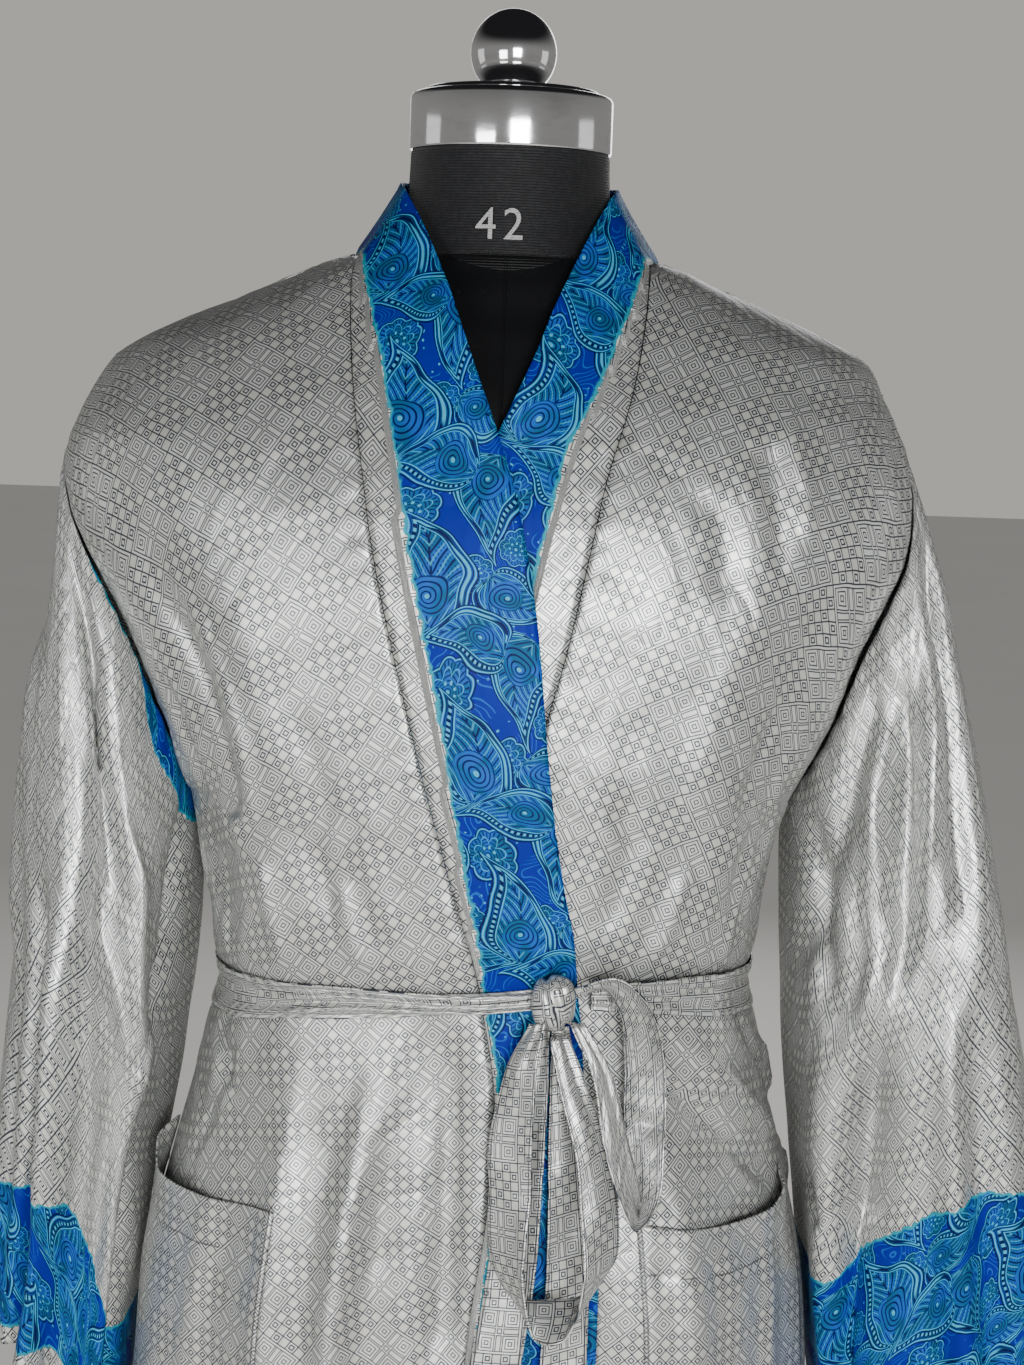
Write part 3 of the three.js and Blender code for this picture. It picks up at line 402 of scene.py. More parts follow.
def mix(first: Array, second: Array, share: Array) -> Array:
    """Value at a share of the way from first to second."""
    return first + (second - first) * share


def wrap_angle(angle: Array) -> Array:
    """Angle in degrees from -180 to 180."""
    return (angle + 540.0) % 360.0 - 180.0


def unit(vectors: Array) -> Array:
    """Vectors of length one."""
    return vectors / np.maximum(np.linalg.norm(vectors, axis=-1, keepdims=True), 1e-9)


class SmoothTable:
    """Smooth curves through the rows of a table, one for each named column."""

    def __init__(self, columns: str, rows: Rows, full_turn: bool = False) -> None:
        """Prepares the curves.

        Args:
            columns: Names of the columns. The first one is the key.
            rows: Rows of numbers, with rising keys.
            full_turn: True if the keys are angles that close after 360 degrees.
        """
        data = np.array(rows, float)
        if full_turn:
            step = np.zeros(data.shape[1])
            step[0] = 360.0
            data = np.vstack([data - step, data, data + step])
        self.keys = data[:, 0]
        self.values = {name: data[:, i] for i, name in enumerate(columns.split())}
        self.tangents = {name: self._tangents(values) for name, values in self.values.items()}

    def _tangents(self, values: Array) -> Array:
        """Slopes at the rows that never swing past a neighbour.

        Args:
            values: One column, row for row.

        Returns:
            A slope for each row.
        """
        slopes = np.diff(values) / np.diff(self.keys)
        product = slopes[:-1] * slopes[1:]
        total = np.where(product > 0, slopes[:-1] + slopes[1:], 1.0)
        inner = np.where(product > 0, 2.0 * product / total, 0.0)
        return np.concatenate([slopes[:1], inner, slopes[-1:]])

    def at(self, name: str, key: Array) -> Array:
        """Values of a column.

        Args:
            name: Name of the column.
            key: Keys at which it is read.

        Returns:
            The column's values at those keys.
        """
        key = np.asarray(key, float)
        values, tangents = self.values[name], self.tangents[name]
        i = np.clip(np.searchsorted(self.keys, key) - 1, 0, len(self.keys) - 2)
        span = self.keys[i + 1] - self.keys[i]
        s = np.clip((key - self.keys[i]) / span, 0.0, 1.0)
        ends = values[i] * (1 + 2 * s) * (1 - s) ** 2 + values[i + 1] * s * s * (3 - 2 * s)
        lean = s * (1 - s) ** 2 * tangents[i] - s * s * (1 - s) * tangents[i + 1]
        return ends + span * lean


@dataclass(frozen=True)
class Fold:
    """Soft trough or ridge between two places. A trough has a negative depth.

    Body places are (angle, level) and sleeve places (angle, share of the length).
    """

    top: Pair
    bottom: Pair
    spread: float
    depth: float
    bow: float = 0.0
    fade: float = 0.22

    def profile(self, angle: Array, along: Array) -> Array:
        """Depth of the fold over a surface.

        Args:
            angle: Angles of the surface's points, in degrees.
            along: Their levels or shares of the length.

        Returns:
            The distance that each point moves outwards.
        """
        share = (along - self.top[1]) / (self.bottom[1] - self.top[1])
        inside = (share > 0) & (share < 1)
        middle = mix(self.top[0], self.bottom[0], share) + self.bow * 4 * share * (1 - share)
        away = wrap_angle(angle - middle) / self.spread
        fade = smooth_step(0, self.fade, share) * (1 - smooth_step(1 - self.fade, 1, share))
        return np.where(inside, self.depth * fade * np.exp(-away * away), 0.0)


def folds_of(rows: Rows) -> list[Fold]:
    """Folds from table rows: both ends, spread, depth and, where it has one, bow."""
    return [Fold((r[0], r[1]), (r[2], r[3]), *r[4:]) for r in rows]


# Creases of the body, finer than its main folds: both ends, spread, depth, bow.
BODY_CREASES = [
    (-66, 1235, -50, 1040, 3, -4.4, 2),
    (-58, 1250, -44, 1060, 2.6, 3.8, 2),
    (-76, 1180, -62, 1010, 3.2, -5.2, -2),
    (-84, 1140, -74, 1010, 2.6, 3.5, -1),
    (-4.6, 962, -3.4, 742, 2.3, -6, 0.4),
    (-11, 940, -10, 620, 3, 4.9, 1),
    (-36, 1180, -24, 1020, 3, -2.3, 1),
    (-20, 1120, -14, 1005, 2.4, 2, 0),
    (38, 1330, 47, 1250, 2.4, -3.8, 1),
    (42, 1345, 53, 1262, 2, 2.6, 1),
    (30, 1300, 36, 1230, 3.2, -3.5, 2),
    (60, 1180, 48, 1035, 3, -3.2, -2),
    (70, 1150, 60, 1010, 2.6, 2.6, -2),
    (78, 1110, 70, 990, 2.6, -3.5, 0),
    (24, 1130, 20, 1010, 2.8, -2.3, 0),
    (24, 930, 66, 846, 4.4, -7.2, 4),
    (34, 945, 74, 866, 3.6, 4.4, 4),
    (60, 958, 82, 880, 2.6, -4.4, 2),
    (80, 930, 86, 880, 2.2, 4.4, 1),
    (84, 895, 80, 850, 2.4, -5, 1),
    (79, 870, 87, 815, 2.4, 4.4, -1),
    (86, 840, 82, 790, 2.4, -4.4, 1),
    (-64, 958, -44, 900, 3, -3.5, -2),
    (-70, 915, -52, 880, 4, -2.3, 1),
    (-6, 968, -13, 800, 3.2, -3, -1),
    (-14, 965, -20, 700, 3, 4.3, -1),
    (-28, 950, -24, 640, 4, -3.8, 2),
    (-52, 945, -58, 860, 3, -2.9, 1),
    (-80, 950, -84, 760, 3.4, -4.3, 0),
    (12, 880, 16, 520, 3.6, -4.3, 1),
    (38, 700, 36, 330, 5, 4.9, 2),
    (-36, 640, -40, 300, 5, -4.6, -2),
    (-12, 600, -8, 240, 4.5, 4.3, 1),
    (66, 650, 70, 300, 5, -4.9, 1),
    (-78, 650, -74, 320, 5, 4.3, 0),
    (112, 1010, 126, 1160, 3.2, -4.8, 2),
    (128, 1000, 140, 1200, 3, 4, 3),
    (150, 1010, 156, 1150, 3.4, -4.4, 0),
    (168, 1005, 172, 1120, 3, -4, 0),
    (-112, 1010, -128, 1170, 3.2, -4.8, -2),
    (-130, 1000, -142, 1190, 3, 4, -3),
    (-152, 1010, -160, 1140, 3.4, -4, 0),
    (-172, 1005, -178, 1180, 3, 3.6, 0),
    (106, 940, 118, 790, 3.4, -6.4, 2),
    (134, 945, 140, 760, 3.6, -6, 0),
    (158, 945, 164, 730, 3.4, 5.6, 2),
    (-104, 945, -116, 780, 3.4, -6.8, -2),
    (-138, 945, -144, 750, 3.6, -6, 0),
    (-164, 940, -168, 700, 3.4, 5.2, -2),
    (130, 620, 134, 260, 5, 6.8, 2),
    (-136, 640, -132, 280, 5, -6.4, 2),
    (178, 600, 174, 300, 5, -6, 0),
    (-17, 955, -19, 500, 2.6, 6.5, -1),
    (-31, 945, -30, 470, 3.2, 5.5, 1.5),
    (-45, 900, -49, 420, 3.6, 4, -1),
    (33, 905, 30, 420, 3.6, 5.5, 1.5),
    (55, 870, 59, 380, 3.6, 5, -1),
    (-23, 1060, -20, 985, 2, 3, 0),
    (-40, 1075, -37, 985, 2.2, 3.2, 1),
    (-60, 1065, -58, 985, 2.4, 3, -1),
    (33, 1070, 30, 985, 2.2, 3, 1),
    (55, 1080, 51, 985, 2.4, 3.4, -1),
    (120, 940, 124, 420, 5, 5, 1),
    (146, 900, 150, 330, 5, -5, 1),
    (172, 930, 168, 380, 4.6, 4.6, -2),
    (-122, 930, -124, 400, 5, 5, -1),
    (-150, 910, -154, 320, 5, -5, -1),
    (-178, 940, -176, 620, 4, -4, 0),
    (140, 1330, 158, 1180, 4, -3.4, 3),
    (-146, 1320, -160, 1190, 4, -3, -3),
    (102, 1120, 132, 1050, 3.6, 3.4, 3),
    (-100, 1130, -130, 1060, 3.6, 3.2, -3),
]
# Creases of the sleeves: angle and share of the length at both ends.
SLEEVE_CREASES_RIGHT = [
    (62, 0.03, 104, 0.34, 6, -11, 6),
    (104, 0.28, 88, 0.5, 6, -6.1, 3),
    (112, 0.2, 122, 0.46, 7, 7.3, 2),
    (150, 0.03, 138, 0.42, 7, -9.8, 3),
    (132, 0.3, 146, 0.44, 4, -4.3, 0),
    (142, 0.36, 128, 0.5, 4, 3.7, 0),
    (64, 0.4, 67, 1.3, 6, -18.3, 2),
    (78, 0.38, 82, 1.3, 6, 9.8, 0),
    (96, 0.55, 99, 1.3, 7, -4.9, 0),
    (122, 0.5, 122, 1.3, 6, 8.5, 0),
    (139, 0.44, 140, 1.3, 8, -18.3, 0),
    (30, 0.22, 26, 0.62, 9, 7.3, 0),
    (40, 0.6, 44, 1.3, 7, 4.9, 0),
    (196, 0.1, 216, 0.5, 7, -6.1, 4),
    (246, 0.16, 232, 0.7, 7, -7.3, 3),
    (262, 0.3, 256, 1.3, 7, 8.5, 2),
    (286, 0.3, 292, 1.3, 7, -8.5, 0),
    (330, 0.35, 336, 1.3, 7, 4.9, 0),
]
SLEEVE_CREASES_LEFT = [
    (92, 0.05, 103, 0.48, 5.5, -13.4, -3),
    (104, 0.1, 116, 0.46, 5, 6.1, -2),
    (56, 0.06, 73, 0.46, 5.5, -8.5, 3),
    (70, 0.05, 88, 0.36, 4.5, 4.9, 2),
    (140, 0.06, 128, 0.4, 6, -7.3, 2),
    (112, 0.42, 148, 1.12, 8, -19.5, -4),
    (98, 0.46, 116, 1.1, 8, 7.3, -3),
    (86, 0.44, 90, 1.3, 6, 9.8, 0),
    (75, 0.48, 78, 1.3, 6, -8.5, 0),
    (150, 0.56, 138, 0.66, 5, -4.9, 0),
    (128, 0.62, 112, 0.7, 5, -4.9, 0),
    (36, 0.5, 42, 1.3, 7, -6.1, 0),
    (200, 0.1, 220, 0.5, 7, -6.1, 4),
    (250, 0.16, 236, 0.7, 7, -7.3, 3),
    (266, 0.3, 262, 1.3, 7, 8.5, 2),
    (288, 0.3, 294, 1.3, 7, -8.5, 0),
]


@dataclass
class Side:
    """One side of the robe: which way it goes and the tables of its edges."""

    name: str
    sign: float
    edge: SmoothTable
    armhole: tuple[float, float]
    shoulder_rows: Sequence[float]
    band: SmoothTable
    rails: SmoothTable
    sleeve_folds: list[Fold]


RIGHT = Side(
    name="right",
    sign=-1.0,
    edge=SmoothTable(EDGE_COLUMNS, SIDE_SEAM_ROWS + ARMHOLE_ROWS_RIGHT + SHOULDER_RIDGE_ROWS),
    armhole=(ARMHOLE_ROWS_RIGHT[0][0], ARMHOLE_ROWS_RIGHT[10][0]),
    shoulder_rows=SHOULDER_ROWS_RIGHT,
    band=SmoothTable(BAND_COLUMNS, BAND_ROWS_RIGHT),
    rails=SmoothTable(RAIL_COLUMNS, RAILS_RIGHT, full_turn=True),
    sleeve_folds=folds_of(SLEEVE_FOLDS_RIGHT + SLEEVE_CREASES_RIGHT),
)
LEFT = Side(
    name="left",
    sign=1.0,
    edge=SmoothTable(EDGE_COLUMNS, SIDE_SEAM_ROWS + ARMHOLE_ROWS_LEFT + SHOULDER_RIDGE_ROWS),
    armhole=(ARMHOLE_ROWS_LEFT[0][0], ARMHOLE_ROWS_LEFT[10][0]),
    shoulder_rows=SHOULDER_ROWS_LEFT,
    band=SmoothTable(BAND_COLUMNS, BAND_ROWS_LEFT),
    rails=SmoothTable(RAIL_COLUMNS, RAILS_LEFT, full_turn=True),
    sleeve_folds=folds_of(SLEEVE_FOLDS_LEFT + SLEEVE_CREASES_LEFT),
)


def width_share(angle: Array, square: Array) -> Array:
    """Share of the half width at an angle of a squared-off ellipse."""
    return (np.sin(angle) + square * np.sin(3 * angle)) / (1 - square)


def depth_share(angle: Array, square: Array) -> Array:
    """Share of the depth at an angle of a squared-off ellipse."""
    return (np.cos(angle) - square * np.cos(3 * angle)) / (1 - square)


def flat(angle: Array) -> Array:
    """No lift over the layer below."""
    return np.zeros_like(angle)


def overlap_lift(angle: Array) -> Array:
    """Lift of the upper front where it lies over the lower one."""
    return OVERLAP_LIFT * smooth_step(-66, -38, angle) * (1 - smooth_step(44, 60, angle))


class RobeBody:
    """Surface of the robe's body by angle and level.

    Angles run from the centre front, and are positive towards the wearer's left.
    Levels are heights that rise and fall with the belt near the waist.
    """

    def __init__(self) -> None:
        """Prepares the tables."""
        self.centre = SmoothTable(CENTRE_COLUMNS, CENTRE_SECTIONS)
        self.belt = SmoothTable(BELT_COLUMNS, BELT_ROWS)
        self.folds = folds_of(BODY_FOLDS + BODY_CREASES)

    def edge(self, name: str, angle: Array, z: Array) -> Array:
        """Column of the edge table of the side that each angle is on."""
        return np.where(angle < 0, RIGHT.edge.at(name, z), LEFT.edge.at(name, z))

    def base(self, angle: Array, z: Array) -> Array:
        """Undisturbed surface, before its folds.

        Args:
            angle: Angles in degrees.
            z: Heights.

        Returns:
            Points in millimetres.
        """
        around = np.abs(angle)
        on_front = around <= 90
        turn = self.edge("turn", angle, z)
        square = self.centre.at("square", z)
        bend = np.radians(np.where(on_front, around, 180 - around) / 90 * turn)
        end = np.radians(turn)
        edge_y = np.where(on_front, self.edge("front", angle, z), self.edge("back", angle, z))
        centre_y = np.where(on_front, self.centre.at("front", z), self.centre.at("back", z))
        end_depth = depth_share(end, square)
        across = width_share(bend, square) / width_share(end, square)
        depth = (depth_share(bend, square) - end_depth) / (1 - end_depth)
        x = np.where(angle < 0, -1.0, 1.0) * self.edge("x", angle, z) * across
        return np.stack([x, mix(edge_y, centre_y, depth), z], axis=-1)

    def surface_normal(self, surface: Surface, angle: Array, z: Array) -> Array:
        """Normals of a body surface. In the armholes the front and the back end apart.

        Args:
            surface: Function from angle and height to points.
            angle: Angles in degrees.
            z: Heights.

        Returns:
            The normals.
        """
        step = 0.6
        ahead, behind = angle + step, angle - step
        open_side = self.edge("turn", angle, z) < 89.9
        on_front = np.abs(angle) <= 90
        sideways = np.sign(angle) * np.where(on_front, 90.0, JUST_BEHIND)
        stops_ahead = on_front == (angle > 0)
        nearest = np.minimum(ahead, np.maximum(sideways, angle))
        ahead = np.where(open_side & stops_ahead, nearest, ahead)
        nearest = np.maximum(behind, np.minimum(sideways, angle))
        behind = np.where(open_side & ~stops_ahead, nearest, behind)
        across = surface(wrap_angle(ahead), z) - surface(wrap_angle(behind), z)
        up = surface(angle, z + 1) - surface(angle, z - 1)
        return unit(np.cross(across, up))

    def belt_angle(self, angle: Array) -> Array:
        """Angle along the belt, which starts and ends beside the knot."""
        return np.where(angle > 14, angle - 360, angle)

    def relief(self, angle: Array, level: Array) -> Array:
        """Depth of the pinch under the belt and of all folds.

        Args:
            angle: Angles in degrees.
            level: Levels.

        Returns:
            How far each point moves outwards.
        """
        away = (level - BELT_LEVEL) / PINCH_REACH
        total = -self.belt.at("pinch", self.belt_angle(angle)) * np.exp(-away * away)
        for fold in self.folds:
            total = total + fold.profile(angle, level)
        return total

    def height(self, angle: Array, level: Array) -> Array:
        """Height of a level at an angle.

        Args:
            angle: Angles in degrees.
            level: Levels.

        Returns:
            The heights.
        """
        away = (level - BELT_LEVEL) / LEVEL_REACH
        shift = self.belt.at("z", self.belt_angle(angle)) - BELT_LEVEL
        return level + shift * np.exp(-away * away)

    def point(self, angle: Array, level: Array, lift: Lift = flat) -> Array:
        """Points of the robe's outside, in millimetres.

        Args:
            angle: Angles in degrees.
            level: Levels.
            lift: Distance over the layer below, by angle.

        Returns:
            The points.
        """
        z = self.height(angle, level)
        normal = self.surface_normal(self.base, angle, z)
        return self.base(angle, z) + normal * (self.relief(angle, level) + lift(angle))[..., None]

    def normal(self, angle: Array, level: Array, lift: Lift = flat) -> Array:
        """Outward normals of the robe's outside."""
        return self.surface_normal(lambda around, at: self.point(around, at, lift), angle, level)

    def angle_at_x(self, x: Array, z: Array) -> Array:
        """Angle on the front at which the undisturbed surface has a given x.

        Args:
            x: Distances from the middle.
            z: Heights.

        Returns:
            The angles, found by halving.
        """
        low, high = np.full_like(x, -90.0), np.full_like(x, 90.0)
        for _ in range(40):
            middle = (low + high) / 2
            below = self.base(middle, z)[..., 0] < x
            low, high = np.where(below, middle, low), np.where(below, high, middle)
        return (low + high) / 2


ROBE = RobeBody()


def refine(rows: Sequence[float], heights: Sequence[float], pitch: float) -> Array:
    """Places between the rows of a coarse table, a pitch apart in height.

    Args:
        rows: Heights that set the spacing.
        heights: Heights to be read at those places, row for row.
        pitch: Greatest distance between two places.

    Returns:
        The heights at the places.
    """
    counts = np.maximum(3, np.ceil(np.abs(np.diff(rows)) / pitch)).astype(int)
    places = [np.linspace(i, i + 1, count, endpoint=False) for i, count in enumerate(counts)]
    places = np.concatenate([*places, [len(rows) - 1]])
    return np.interp(places, np.arange(len(rows)), heights)


def seam_rows() -> list[float]:
    """Heights of the coarse rows at the seam to the neckband."""
    armhole = np.linspace(*SEAM_ROWS_ARMHOLE, 12)
    return [*SKIRT_ROWS, *armhole, *SEAM_ROWS_SHOULDER]


def edge_rows(side: Side) -> list[float]:
    """Heights of the coarse rows at a side's outer edge."""
    share = (1 - np.cos(np.pi * np.arange(12) / 11)) / 2
    return [*SKIRT_ROWS, *mix(side.armhole[0], side.armhole[1], share), *side.shoulder_rows]


ROW_PITCH = 6.0
SEAM_HEIGHTS = refine(seam_rows(), seam_rows(), ROW_PITCH)


class Outwards(Enum):
    """Ways to tell the outside of a sheet of cloth."""

    FROM_AXIS = "away from the robe's axis"
    FROM_ROWS = "away from the middle of each row"
    FORWARD = "towards the front"


@dataclass
class ClothSheet:
    """Grid of cloth that becomes one thin shell with its print coordinates."""

    name: str
    points: Array
    uv: Array
    outwards: Outwards = Outwards.FROM_AXIS
    closed: bool = False
    wall: float = CLOTH_WALL
    masks: dict[str, Array] = field(default_factory=dict)

    def grid_normals(self) -> Array:
        """Normals of the grid, pointing outwards.

        Returns:
            One normal for each point.
        """
        across = np.gradient(self.points, axis=1)
        if self.closed:
            across[:, 0] = across[:, -1] = self.points[:, 1] - self.points[:, -2]
        normals = unit(np.cross(across, np.gradient(self.points, axis=0)))
        return normals * self.facing(normals)

    def facing(self, normals: Array) -> float:
        """1 if the grid's normals point outwards, or else -1.

        Args:
            normals: The grid's normals.

        Returns:
            The sign that turns them outwards.
        """
        if self.outwards is Outwards.FROM_AXIS:
            away = self.points * np.array([1.0, 1.0, 0.0])
        elif self.outwards is Outwards.FROM_ROWS:
            away = self.points - self.points.mean(axis=1, keepdims=True)
        else:
            away = np.broadcast_to(np.array([0.0, -1.0, 0.0]), self.points.shape)
        return 1.0 if np.sum(normals * away) > 0 else -1.0

    def raise_by(self, height: Array) -> None:
        """Moves the grid outwards by a height at each point, in millimetres."""
        self.points = self.points + self.grid_normals() * height[..., None]

    def build(self) -> bpy.types.Object:
        """Makes the shell.

        Returns:
            The object, which rides on the robe's body.
        """
        rows, columns = self.points.shape[:2]
        shell = bmesh.new()
        bmesh.ops.create_grid(shell, x_segments=columns - 1, y_segments=rows - 1, size=0.5)
        places = np.array([v.co[:2] for v in shell.verts]) + 0.5
        column = np.rint(places[:, 0] * (columns - 1)).astype(int)
        row = np.rint(places[:, 1] * (rows - 1)).astype(int)
        mesh = mesh_of(shell, self.name + "_cloth")
        mesh.vertices.foreach_set("co", (self.points[row, column] * MM).astype(np.float32).ravel())
        corners = np.empty(len(mesh.loops), np.int32)
        mesh.loops.foreach_get("vertex_index", corners)
        layer = mesh.uv_layers.new(name="cloth")
        layer.data.foreach_set("uv", self.uv[row, column][corners].astype(np.float32).ravel())
        for name, mask in self.masks.items():
            attribute = mesh.attributes.new(name, "FLOAT", "POINT")
            attribute.data.foreach_set("value", mask[row, column].astype(np.float32))
        self.finish_mesh(mesh)
        piece = add_object(self.name + "_cloth", mesh)
        if self.wall:
            wall = piece.modifiers.new("wall", "SOLIDIFY")
            wall.thickness = self.wall * MM
            wall.offset = -1.0
        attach(piece, BODY)
        return piece

    def finish_mesh(self, mesh: bpy.types.Mesh) -> None:
        """Joins a closed grid, turns the faces outwards and smooths them.

        Args:
            mesh: The mesh of the grid.
        """
        raw = unit(np.cross(np.gradient(self.points, axis=1), np.gradient(self.points, axis=0)))
        shell = bmesh.new()
        shell.from_mesh(mesh)
        if self.closed:
            bmesh.ops.remove_doubles(shell, verts=shell.verts, dist=1e-6)
        if self.facing(raw) < 0:
            bmesh.ops.reverse_faces(shell, faces=shell.faces)
        for face in shell.faces:
            face.smooth = True
        shell.to_mesh(mesh)
        shell.free()


def arc_along(points: Array, axis: int) -> Array:
    """Length of cloth from the first point of each row or column.

    Args:
        points: Grid of points.
        axis: The grid axis that the length follows.

    Returns:
        The length at each point.
    """
    steps = np.linalg.norm(np.diff(points, axis=axis), axis=-1)
    first = np.zeros_like(np.take(steps, [0], axis=axis))
    return np.cumsum(np.concatenate([first, steps], axis=axis), axis=axis)


def turned_print(u: Array, v: Array, degrees: Array) -> Array:
    """Print coordinates in metres, turned by the angle at which the cloth is cut.

    Args:
        u: Lengths across, in millimetres.
        v: Lengths along.
        degrees: Angle of the grain.

    Returns:
        The coordinates.
    """
    angle = np.radians(degrees)
    cosine, sine = np.cos(angle), np.sin(angle)
    return np.stack([u * cosine + v * sine, v * cosine - u * sine], axis=-1) * MM


# Corners of the lattice of uneven heights, and where its count starts.
LATTICE = 64
LATTICE_START = 900
# Distance between the places at which one lattice is read twice.
APART = 300
# Sewn seams: width of the dip, and length and reach of the puckers, in millimetres.
SEAM_WIDTH = 3.2
PUCKER_LENGTH = 3.4
PUCKER_REACH = 11.0


class Rumple:
    """Slight unevenness of hanging silk, the same in each run."""

    def __init__(self, seed: int) -> None:
        """Draws the heights of a lattice."""
        self.heights = np.random.default_rng(seed).uniform(-1, 1, (LATTICE, LATTICE))

    def corner(self, i: Array, j: Array) -> Array:
        """Heights of lattice corners, which repeat."""
        return self.heights[i % LATTICE, j % LATTICE]

    def wave(self, u: Array, v: Array, size: Place) -> Array:
        """Waves of cloth of a given height, width and length."""
        return size[0] * self.at(u, v, size[1], size[2])

    def at(self, u: Array, v: Array, across: float, along: float) -> Array:
        """Heights from -1 to 1.

        Args:
            u: Distance across the cloth in millimetres.
            v: Distance along the cloth.
            across: Size of a wave across.
            along: Size of a wave along.

        Returns:
            Smooth heights at those places.
        """
        x, y = u / across + LATTICE_START, v / along + LATTICE_START
        i, j = np.floor(x).astype(int), np.floor(y).astype(int)
        fx, fy = x - i, y - j
        fx, fy = fx * fx * (3 - 2 * fx), fy * fy * (3 - 2 * fy)
        low = mix(self.corner(i, j), self.corner(i + 1, j), fx)
        high = mix(self.corner(i, j + 1), self.corner(i + 1, j + 1), fx)
        return mix(low, high, fy)


def groove(distance: Array, depth: float = 0.5, width: float = 2.5) -> Array:
    """Groove that a line of stitches presses into the cloth. Its heights are negative."""
    return -depth * np.exp(-((distance / width) ** 2))


def seam_dip(distance: Array, along: Array, phase: float, depth: float = 0.7, pucker: float = 0.5) -> Array:
    """Dip beside a sewn seam, with the small puckers that its stitches draw.

    Args:
        distance: Distance from the seam in millimetres.
        along: Distance along the seam.
        phase: Start of the puckers.
        depth: Depth of the dip.
        pucker: Height of the puckers.

    Returns:
        Heights, which are negative in the dip.
    """
    wave = np.sin(along / PUCKER_LENGTH + phase + 1.3 * np.sin(along / 21 + phase))
    reach = (np.exp(-distance / 1.6) - 1) * groove(distance, 1.0, PUCKER_REACH)
    return groove(distance, depth, SEAM_WIDTH) + pucker * wave * reach


def mesh_of(shell: bmesh.types.BMesh, name: str) -> bpy.types.Mesh:
    """Mesh that takes over a finished bmesh.

    Args:
        shell: The bmesh, which is freed.
        name: The mesh's name.

    Returns:
        The mesh.
    """
    mesh = bpy.data.meshes.new(name)
    shell.to_mesh(mesh)
    shell.free()
    return mesh


def add_object(name: str, data: bpy.types.ID) -> bpy.types.Object:
    """New object in the scene.

    Args:
        name: The object's name.
        data: Its mesh, light, camera or text.

    Returns:
        The object.
    """
    holder = bpy.data.objects.new(name, data)
    bpy.context.scene.collection.objects.link(holder)
    return holder


def settle(shader: bpy.types.Node, values: dict[str, float]) -> None:
    """Sets constants on a shader's own sockets."""
    for title, value in values.items():
        shader.inputs[title].default_value = value


class Piece:
    """Sub-assembly that builds named objects and reports them."""

    def report(self, piece: bpy.types.Object) -> None:
        """Writes one line about a finished object."""
        log.info("%s: %d faces", piece.name, len(piece.data.polygons))

    def dress(self, piece: bpy.types.Object, material: bpy.types.Material, slot: str, *nodes: str) -> None:
        """Gives an object its material and hides the solids that it stands for.

        Args:
            piece: The object.
            material: Its material.
            slot: The material's slot. Not used.
            nodes: Names of the solids.
        """
        piece.data.materials.clear()
        piece.data.materials.append(material)
        if nodes:
            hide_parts(*nodes)
        self.report(piece)

    def dress_sheet(self, sheet: ClothSheet, material: bpy.types.Material, slot: str) -> bpy.types.Object:
        """Builds a sheet of cloth and dresses it for the solid of its name.

        Args:
            sheet: The sheet.
            material: Its material.
            slot: The material's slot, passed on to dress, which does not use it.

        Returns:
            The object.
        """
        piece = sheet.build()
        self.dress(piece, material, slot, sheet.name)
        return piece


